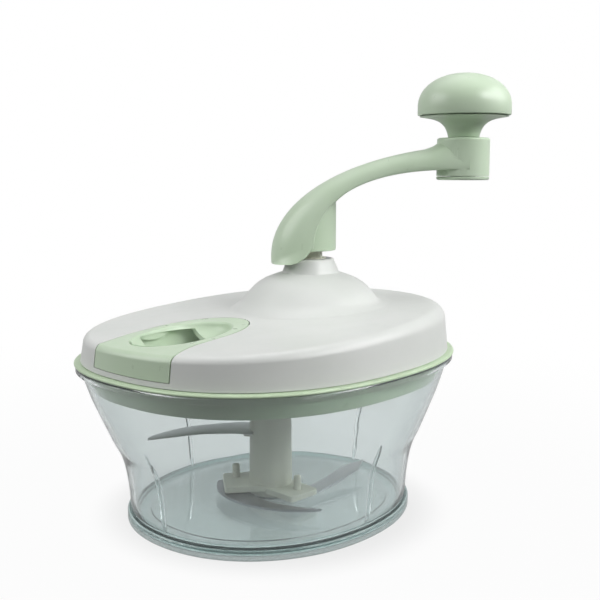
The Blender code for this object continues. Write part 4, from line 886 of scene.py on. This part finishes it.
def arm_shape():
    sections = [arm_section(Vector(back), Vector(edge), arm_half_widths[0])
                for back, edge in zip(arm_foot_backs, arm_foot_edges)]
    for step in range(arm_stations + 1):
        share = step / arm_stations
        half = bezier([(width, 0.0) for width in arm_half_widths], share).x
        back = bezier(arm_back_curve, share)
        sections.append(arm_section(back + arm_ramp(back), bezier(arm_edge_curve, share), half))
    for step in range(1, arm_end_steps + 1):
        share = step / arm_end_steps
        onward = Vector((arm_end_length * share, 0.0))
        back = Vector(arm_back_curve[-1]) + onward
        half = arm_half_widths[-1] + (arm_end_half_width - arm_half_widths[-1]) * share
        sections.append(arm_section(back + arm_ramp(back), Vector(arm_edge_curve[-1]) + onward, half))
    return lofted(sections)


def barrel_shape(arm):
    """The barrel's rounded lower edge and its wall, with a top that lies inside the arm's roof."""
    roof = BVHTree.FromPolygons([v.co for v in arm.data.vertices], [f.vertices[:] for f in arm.data.polygons])
    rings = [circle(barrel_radius - barrel_edge * share, barrel_low + barrel_edge * up, count=barrel_points)
             for share, up in ((1.0, 0.0), (0.3, 0.3), (0.0, 1.0))]
    for share in (1.0, 0.8, 0.6, 0.4, 0.2):
        ring = circle(barrel_radius * share, 0.0, count=barrel_points)
        for point in ring:
            hit = roof.ray_cast(Vector((point.x, point.y, 2 * hub_top)), Vector((0.0, 0.0, -1.0)))[0]
            point.z = hit.z - arm_wall / 2
        rings.append(ring)
    return lofted(rings)


def hub_shape():
    profile = [(0.0, hub_top)]
    for bend in (math.radians(degrees) for degrees in hub_edge_degrees):
        inward, down = 1 - math.sin(bend), 1 - math.cos(bend)
        profile.append((hub_radius - hub_edge * inward, hub_top - hub_edge * down))
    return turned(profile + [(hub_radius, hub_low), (0.0, hub_low)])


def hub_bore_shape():
    high, middle, low = hub_top + CUT_PAST, hub_low + hub_floor, hub_low - CUT_PAST
    return turned([(0.0, high), (hub_bore, high), (hub_bore, middle), (hub_recess, middle), (hub_recess, low),
                   (0.0, low)], 48)


arm = piece("green_crank_arm", arm_shape())
arm_reach = (Vector(knob_place) - Vector(crank_place)).length
combined(arm, "UNION", barrel_shape(arm), moved(hub_shape(), (arm_reach, 0.0)))
socket = lofted([rounded_square(shaft_half_square + GAP, shaft_corner / 2, height)
                 for height in (barrel_low - CUT_PAST, barrel_low + socket_depth)])
combined(arm, "DIFFERENCE", socket, moved(hub_bore_shape(), (arm_reach, 0.0)))
arm.data.transform(placing(crank_place, crank_turn))
dress(arm, green_abs, "crank", "crank_arm")


# Knob: a domed green cap snapped over a flared stem, which turns on a steel pin in the arm's hub. A green
# plug closes the hub from below.
stem_low, cap_low, cap_top = foot_of("knob_stem"), foot_of("knob_cap"), top_of("knob_cap")
knob_radius = radius_of("knob_cap")
neck_radius, knob_wall, knob_plate, knob_bore = 8.1 * MM, 2.2 * MM, 2.4 * MM, 3.4 * MM
flare_shares = ((0.0, 0.0), (0.18, 0.03), (0.46, 0.12), (0.70, 0.29), (0.86, 0.56), (0.97, 1.0))
flare_curve_steps = 22
cap_band_share, cap_power, cap_curve_steps = 0.22, 2.1, 20
cap_edge, cap_edge_share = 0.6 * MM, 0.3
plug_top_shares, plug_foot_shares = ((0.25, 0.0), (0.0, 0.25)), ((0.0, 0.6), (0.2, 0.2), (0.6, 0.0))


def stem_shape():
    seat, mouth = knob_radius - knob_wall - GAP, cap_low - GAP
    profile = [(knob_bore, cap_low + knob_plate), (seat, cap_low + knob_plate), (seat, mouth)]
    flare = knob_radius - knob_wall / 2
    for step in range(flare_curve_steps, -1, -1):
        up = flare_shares[-1][0] * step / flare_curve_steps
        profile.append((neck_radius + (flare - neck_radius) * smooth_shares(flare_shares, up),
                        stem_low + (mouth - stem_low) * up))
    profile.append((knob_bore, stem_low))
    return moved(turned(profile), knob_place)


def cap_profile(radius, top):
    """The cap's outline from its top on the axis down to its edge."""
    band = (cap_top - cap_low) * cap_band_share
    points = []
    for step in range(cap_curve_steps + 1):
        turn = math.radians(90 * (1 - step / cap_curve_steps))
        out, up = superellipse(turn, radius, top - cap_low - band, cap_power)
        points.append((max(out, 0.0) if step else 0.0, cap_low + band + up))
    return points


def cap_shape():
    outer = cap_profile(knob_radius, cap_top)
    bevel = cap_edge * cap_edge_share
    outer += [(knob_radius, cap_low + cap_edge), (knob_radius - bevel, cap_low + bevel),
              (knob_radius - cap_edge, cap_low), (knob_radius - knob_wall, cap_low)]
    inner = cap_profile(knob_radius - knob_wall, cap_top - knob_wall)
    return moved(turned(outer + inner[::-1]), knob_place)


def plug_shape():
    low, high, seat, stem = foot_of("hub_plug"), top_of("hub_plug"), hub_low - GAP, hub_recess - GAP
    profile = [(0.0, high), (stem, high), (stem, seat)]
    profile += [(hub_radius - hub_edge * inward, seat - hub_edge * down) for inward, down in plug_top_shares]
    profile += [(hub_radius - hub_edge * inward, low + hub_edge * up) for inward, up in plug_foot_shares]
    return moved(turned(profile + [(0.0, low)]), knob_place)


for name, shape, body, node in (("green_knob_stem", stem_shape(), "knob", "knob_stem"),
                                ("green_knob_cap", cap_shape(), "knob", "knob_cap"),
                                ("green_hub_plug", plug_shape(), "crank", "hub_plug")):
    dress(piece(name, shape), green_abs, body, node)
finish_nodes(turned_steel("turned_steel_knob", knob_place), "knob_pin", "knob_clip")


# Blade post: ivory POM on the pivot pin. A slot and a tab hold the upper blade, and its two plates carry the
# lower blades, riveted on with pegs. A hexagon socket in its top takes the spindle of the lid.
post_low, post_top = foot_of("blade_post"), top_of("blade_post")
post_radius, post_top_radius, post_edge, post_edge_share = 11.5 * MM, 10.5 * MM, 1.4 * MM, 0.3
upper_blade_height, blade_thickness = foot_of("blade_upper"), 1.2 * MM
tab_reach, tab_width, tab_thickness, tab_turn = 14.0 * MM, 8.0 * MM, 2.2 * MM, 122.0
blade_slot_depth, blade_slot_turn = 6.6 * MM, 118.0
plate_thickness, plate_edge, plate_corner = 3.4 * MM, 0.5 * MM, 2.0 * MM
plates = ((140.0, 25.0 * MM, 22.0 * MM, 11.2 * MM), (-94.0, 26.0 * MM, 19.0 * MM, 9.8 * MM))
socket_flats, hexagon_depth = 8.6 * MM, 11.3 * MM
pin_bore = 2.8 * MM
peg_names = ("blade_peg_left", "blade_peg_right")
peg_hole_radius, peg_hole_low, peg_hole_high = 2.3 * MM, 5.0 * MM, 25.0 * MM
sharp_angle = 40.0


def softened(shape, radius):
    """Rounds the sharp edges of a slab that stick out of the post."""
    sharp = [edge for edge in shape.edges
             if edge.is_manifold and edge.calc_face_angle() > math.radians(sharp_angle)
             and max(v.co.x for v in edge.verts) > MM]
    return rounded(shape, sharp, radius, 3)


def plate_shape(turn, reach, width, low):
    shape = slab(rectangle(0.0, reach, width / 2), low, low + plate_thickness)
    rounded(shape, upright_edges(shape, reach / 2), plate_corner, 5)
    return moved(softened(shape, plate_edge), turn=turn)


def tab_shape():
    high = upper_blade_height - GAP
    shape = slab(rectangle(0.0, tab_reach, tab_width / 2), high - tab_thickness, high)
    return moved(softened(shape, tab_thickness / 4), turn=tab_turn)


def blade_post_shape():
    top_edge, bevel = post_edge / 3, post_edge * post_edge_share
    return turned([(0.0, post_top), (post_top_radius - top_edge, post_top),
                   (post_top_radius, post_top - top_edge), (post_radius, post_low + post_edge),
                   (post_radius - bevel, post_low + bevel), (post_radius - post_edge, post_low),
                   (0.0, post_low)])


def hexagon_shape():
    return lofted([circle(socket_flats / math.sqrt(3), height, count=6)
                   for height in (post_top - hexagon_depth, post_top + CUT_PAST)])


def slot_shape():
    shape = slab(rectangle(blade_slot_depth, 2 * post_radius, post_radius), upper_blade_height - GAP,
                 upper_blade_height + blade_thickness + GAP)
    return moved(shape, turn=blade_slot_turn)


def peg_holes():
    return [rod(peg_hole_radius, peg_hole_low, peg_hole_high, place_of(name), 32) for name in peg_names]


post = piece("ivory_blade_post", blade_post_shape())
combined(post, "UNION", tab_shape(), *[plate_shape(*plate) for plate in plates])
combined(post, "DIFFERENCE", rod(pin_bore, post_low - CUT_PAST, top_of("pivot_pin") + 2 * GAP),
         hexagon_shape(), slot_shape(), *peg_holes())
dress(post, ivory_pom, "blades", "blade_post")


# Pegs: two ivory POM rivets with domed heads, pressed through the lower blades into the post's plates.
peg_head_shares = ((0.5, 0.0), (0.85, 0.18), (1.0, 0.5))
peg_edge = 0.2 * MM


def peg_shape(name):
    high, low, radius = top_of(name), foot_of(name), radius_of(name)
    profile = [(0.0, high)] + [(radius * out, high - radius * down) for out, down in peg_head_shares]
    profile += [(radius, low + peg_edge), (radius - peg_edge, low), (0.0, low)]
    return moved(turned(profile, 32), place_of(name))


for name in peg_names:
    dress(piece(f"ivory_{name}", peg_shape(name)), ivory_pom, "blades", name)


# Blades: stainless steel strip, stamped out, ground to an edge along one side and brushed along its length.
# Two are curved. The straight one bends up a little towards its tip and has fine teeth on its outer part.
grind_width, grind_width_share, edge_thickness, tip_width = 2.6 * MM, 0.6, 0.15 * MM, 0.6 * MM
blade_steps, blade_smooth = 72, 25.0
serrated_root, serrated_tip = Vector((-6.0 * MM, -19.0 * MM)), Vector((59.0 * MM, -16.5 * MM))
serrated_width, serrated_rise, serrated_taper, serrated_steps = 9.5 * MM, 4.0 * MM, 6, 360
serrated_bend_share, teeth_start_share, teeth_length_share = 0.3, 0.46, 0.44
tooth_depth, teeth, tooth_power = 1.0 * MM, 12, 4


def brushed_steel(name, turn, tone, shade):
    """Stainless strip: fine grinding lines along the blade, which turn by some degrees from +X."""
    finish, tree, where = fresh_material(name)
    along = add_node(tree, "ShaderNodeMapping", {"Vector": where, "Rotation": (0.0, 0.0, math.radians(-turn)),
                                                 "Scale": (0.06, 1.0, 1.0)}).outputs["Vector"]
    lines = noise(tree, along, 0.7 * MM, 4.0)
    tones = two_tones(tree, noise(tree, where, 14 * MM, 3.0), colour(tone), colour(shade))
    return principled(finish, {"Base Color": tones, "Metallic": 1.0,
                               "Roughness": spread(tree, lines, 0.0, 1.0, 0.24, 0.46),
                               "Normal": bumps(tree, lines, 0.012 * MM)})


def blade_shape(places, widths, heights, notches):
    """A strip along its centreline: full thickness at the back, and ground on both faces to a thin edge."""
    rings = []
    thin = (blade_thickness - edge_thickness) / 2
    for step, place in enumerate(places):
        along = (places[min(step + 1, len(places) - 1)] - places[max(step - 1, 0)]).normalized()
        across = Vector((-along.y, along.x))
        half = widths[step] / 2
        low, high = heights[step], heights[step] + blade_thickness
        face = half - min(grind_width, widths[step] * grind_width_share)
        edge = half - notches[step]
        outline = ((-half, low), (face, low), (edge, low + thin),
                   (edge, high - thin), (face, high), (-half, high))
        rings.append([Vector((*(place + across * side), height)) for side, height in outline])
    return lofted(rings)


def swept_blade(root, tip, start, sweep, width, growth, height):
    """A curved blade, whose centreline sweeps round the axis by degrees as it grows from root to tip."""
    places, widths = [], []
    for step in range(blade_steps + 1):
        share = step / blade_steps
        radius = root + (tip - root) * share ** growth
        turn = math.radians(start + sweep * share)
        places.append(Vector((radius * math.cos(turn), radius * math.sin(turn))))
        widths.append(max(width * math.sqrt(1 - share), tip_width))
    return blade_shape(places, widths, [height] * len(places), [0.0] * len(places))


def serrated_blade(height):
    places, widths, heights, notches = [], [], [], []
    for step in range(serrated_steps + 1):
        share = step / serrated_steps
        places.append(serrated_root.lerp(serrated_tip, share))
        widths.append(max(serrated_width * min(1.0, (1 - share) * serrated_taper), tip_width))
        bent = max(share - serrated_bend_share, 0.0) / (1 - serrated_bend_share)
        heights.append(height + serrated_rise * bent)
        toothed = (share - teeth_start_share) / teeth_length_share
        wave = math.sin(math.pi * teeth * toothed) ** tooth_power if 0 < toothed < 1 else 0.0
        notches.append(tooth_depth * wave)
    return blade_shape(places, widths, heights, notches)


blades = (
    ("steel_upper_blade", "blade_upper", 133.0, "#bfc1c6", "#d3d4d8", (),
     swept_blade(8.2 * MM, 64.5 * MM, 118.0, 30.0, 21.5 * MM, 1, upper_blade_height)),
    # The crescent's darker steel tones are painted shade: they stand in for the lid's dark underside mirrored
    # in its face.
    ("steel_crescent_blade", "blade_crescent", 200.0, "#7d7f84", "#9c9ea2", peg_holes(),
     swept_blade(20.0 * MM, 44.0 * MM, 118.0, 140.0, 18.5 * MM, 3, foot_of("blade_crescent"))),
    ("steel_serrated_blade", "blade_serrated", 2.0, "#b4b6ba", "#c8cacd", peg_holes(),
     serrated_blade(foot_of("blade_serrated"))),
)
for name, node, turn, tone, shade, holes, shape in blades:
    blade = piece(name, shape, blade_smooth)
    if holes:
        combined(blade, "DIFFERENCE", *holes, smooth=blade_smooth)
    dress(blade, brushed_steel(f"brushed_{name}", turn, tone, shade), "blades", node)


# Studio: a pale floor and soft light from above and both sides, with the darker room behind the camera. The
# camera stands a little above the lid, as the photograph's did.
floor_size = 12.0
floor_shade_reach, floor_light_reach, floor_white_reach = 68 * MM, 98 * MM, 500 * MM
floor_foot_white, floor_near_white = 0.80, 0.97
mirror_share = 0.45
look_at = (0.0, 0.0, 0.1)
lamps = (
    ("top_softbox", (0.05, 0.10, 1.00), look_at, (1.0, 1.0), 2.6, 180.0),
    ("left_softbox", (-0.62, 0.49, 0.60), look_at, (0.7, 0.55), 4.0, 180.0),
    ("right_softbox", (0.47, -0.64, 0.60), look_at, (0.7, 0.55), 4.6, 180.0),
    ("knob_softbox", (0.12, -0.66, 0.60), (0.09, -0.06, 0.21), (0.45, 0.45), 0.30, 40.0),
)
camera_place, camera_tilt, camera_turn = (-0.3349, -0.3204, 0.1773), 8.31, -48.2


def seen_directly(tree):
    """One for rays from the eye, and for what the object mirrors or lets through to the eye, but not for the
    light that falls on it."""
    ray = add_node(tree, "ShaderNodeLightPath").outputs
    mirrored = maths(tree, "MULTIPLY", ray["Is Glossy Ray"], mirror_share)
    straight = maths(tree, "MAXIMUM", ray["Is Camera Ray"], mirrored)
    through = maths(tree, "MAXIMUM", straight, ray["Is Transmission Ray"])
    return maths(tree, "MULTIPLY", through, maths(tree, "LESS_THAN", ray["Diffuse Depth"], 0.5))


def floor_finish():
    """Pale matt floor. What the eye sees of it turns to white away from the bowl's foot and its shadow."""
    finish, tree, where = fresh_material("pale_matt_floor")
    away = add_node(tree, "ShaderNodeVectorMath", {0: where}, operation="LENGTH").outputs["Value"]
    near = spread(tree, away, floor_shade_reach, floor_light_reach, floor_foot_white, floor_near_white,
                  interpolation_type="SMOOTHSTEP")
    far = spread(tree, away, floor_light_reach, floor_white_reach, 0.0, 1 - floor_near_white,
                 interpolation_type="SMOOTHSTEP")
    share = maths(tree, "MULTIPLY", seen_directly(tree), maths(tree, "ADD", near, far))
    paint = add_node(tree, "ShaderNodeBsdfDiffuse", {"Color": colour("#747574")})
    white = add_node(tree, "ShaderNodeEmission", {"Color": colour("#ffffff"), "Strength": 1.0})
    mixed_surface(tree, "ShaderNodeOutputMaterial", share, paint, white)
    return finish


floor_shape = bmesh.new()
bmesh.ops.create_grid(floor_shape, x_segments=1, y_segments=1, size=floor_size / 2)
floor = piece("studio_floor", floor_shape)
floor.data.materials.append(floor_finish())

world = bpy.data.worlds.new("soft_room")
bpy.context.scene.world = world
world.use_nodes = True
tree = world.node_tree
tree.nodes.clear()
room_light = add_node(tree, "ShaderNodeBackground", {"Color": colour("#f2f4f6"), "Strength": 0.16})
white_wall = add_node(tree, "ShaderNodeBackground", {"Color": colour("#ffffff"), "Strength": 1.0})
mixed_surface(tree, "ShaderNodeOutputWorld", seen_directly(tree), room_light, white_wall)

for name, place, aim, size, watts, beam in lamps:
    lamp = bpy.data.lights.new(name, "AREA")
    lamp.shape = "RECTANGLE"
    lamp.size, lamp.size_y = size
    lamp.energy = watts
    lamp.spread = math.radians(beam)
    softbox = bpy.data.objects.new(name, lamp)
    softbox.location = place
    softbox.rotation_euler = (Vector(aim) - Vector(place)).to_track_quat("-Z", "Y").to_euler()
    softbox.visible_camera = False
    bpy.context.scene.collection.objects.link(softbox)

lens = bpy.data.cameras.new("product_camera")
lens.lens = 54.13
lens.sensor_width = 36.0
lens.clip_start = 0.01
camera = bpy.data.objects.new("product_camera", lens)
camera.location = camera_place
camera.rotation_euler = (math.radians(90 - camera_tilt), 0.0, math.radians(camera_turn))
bpy.context.scene.collection.objects.link(camera)
bpy.context.scene.camera = camera
bpy.context.scene.view_settings.view_transform = "Standard"
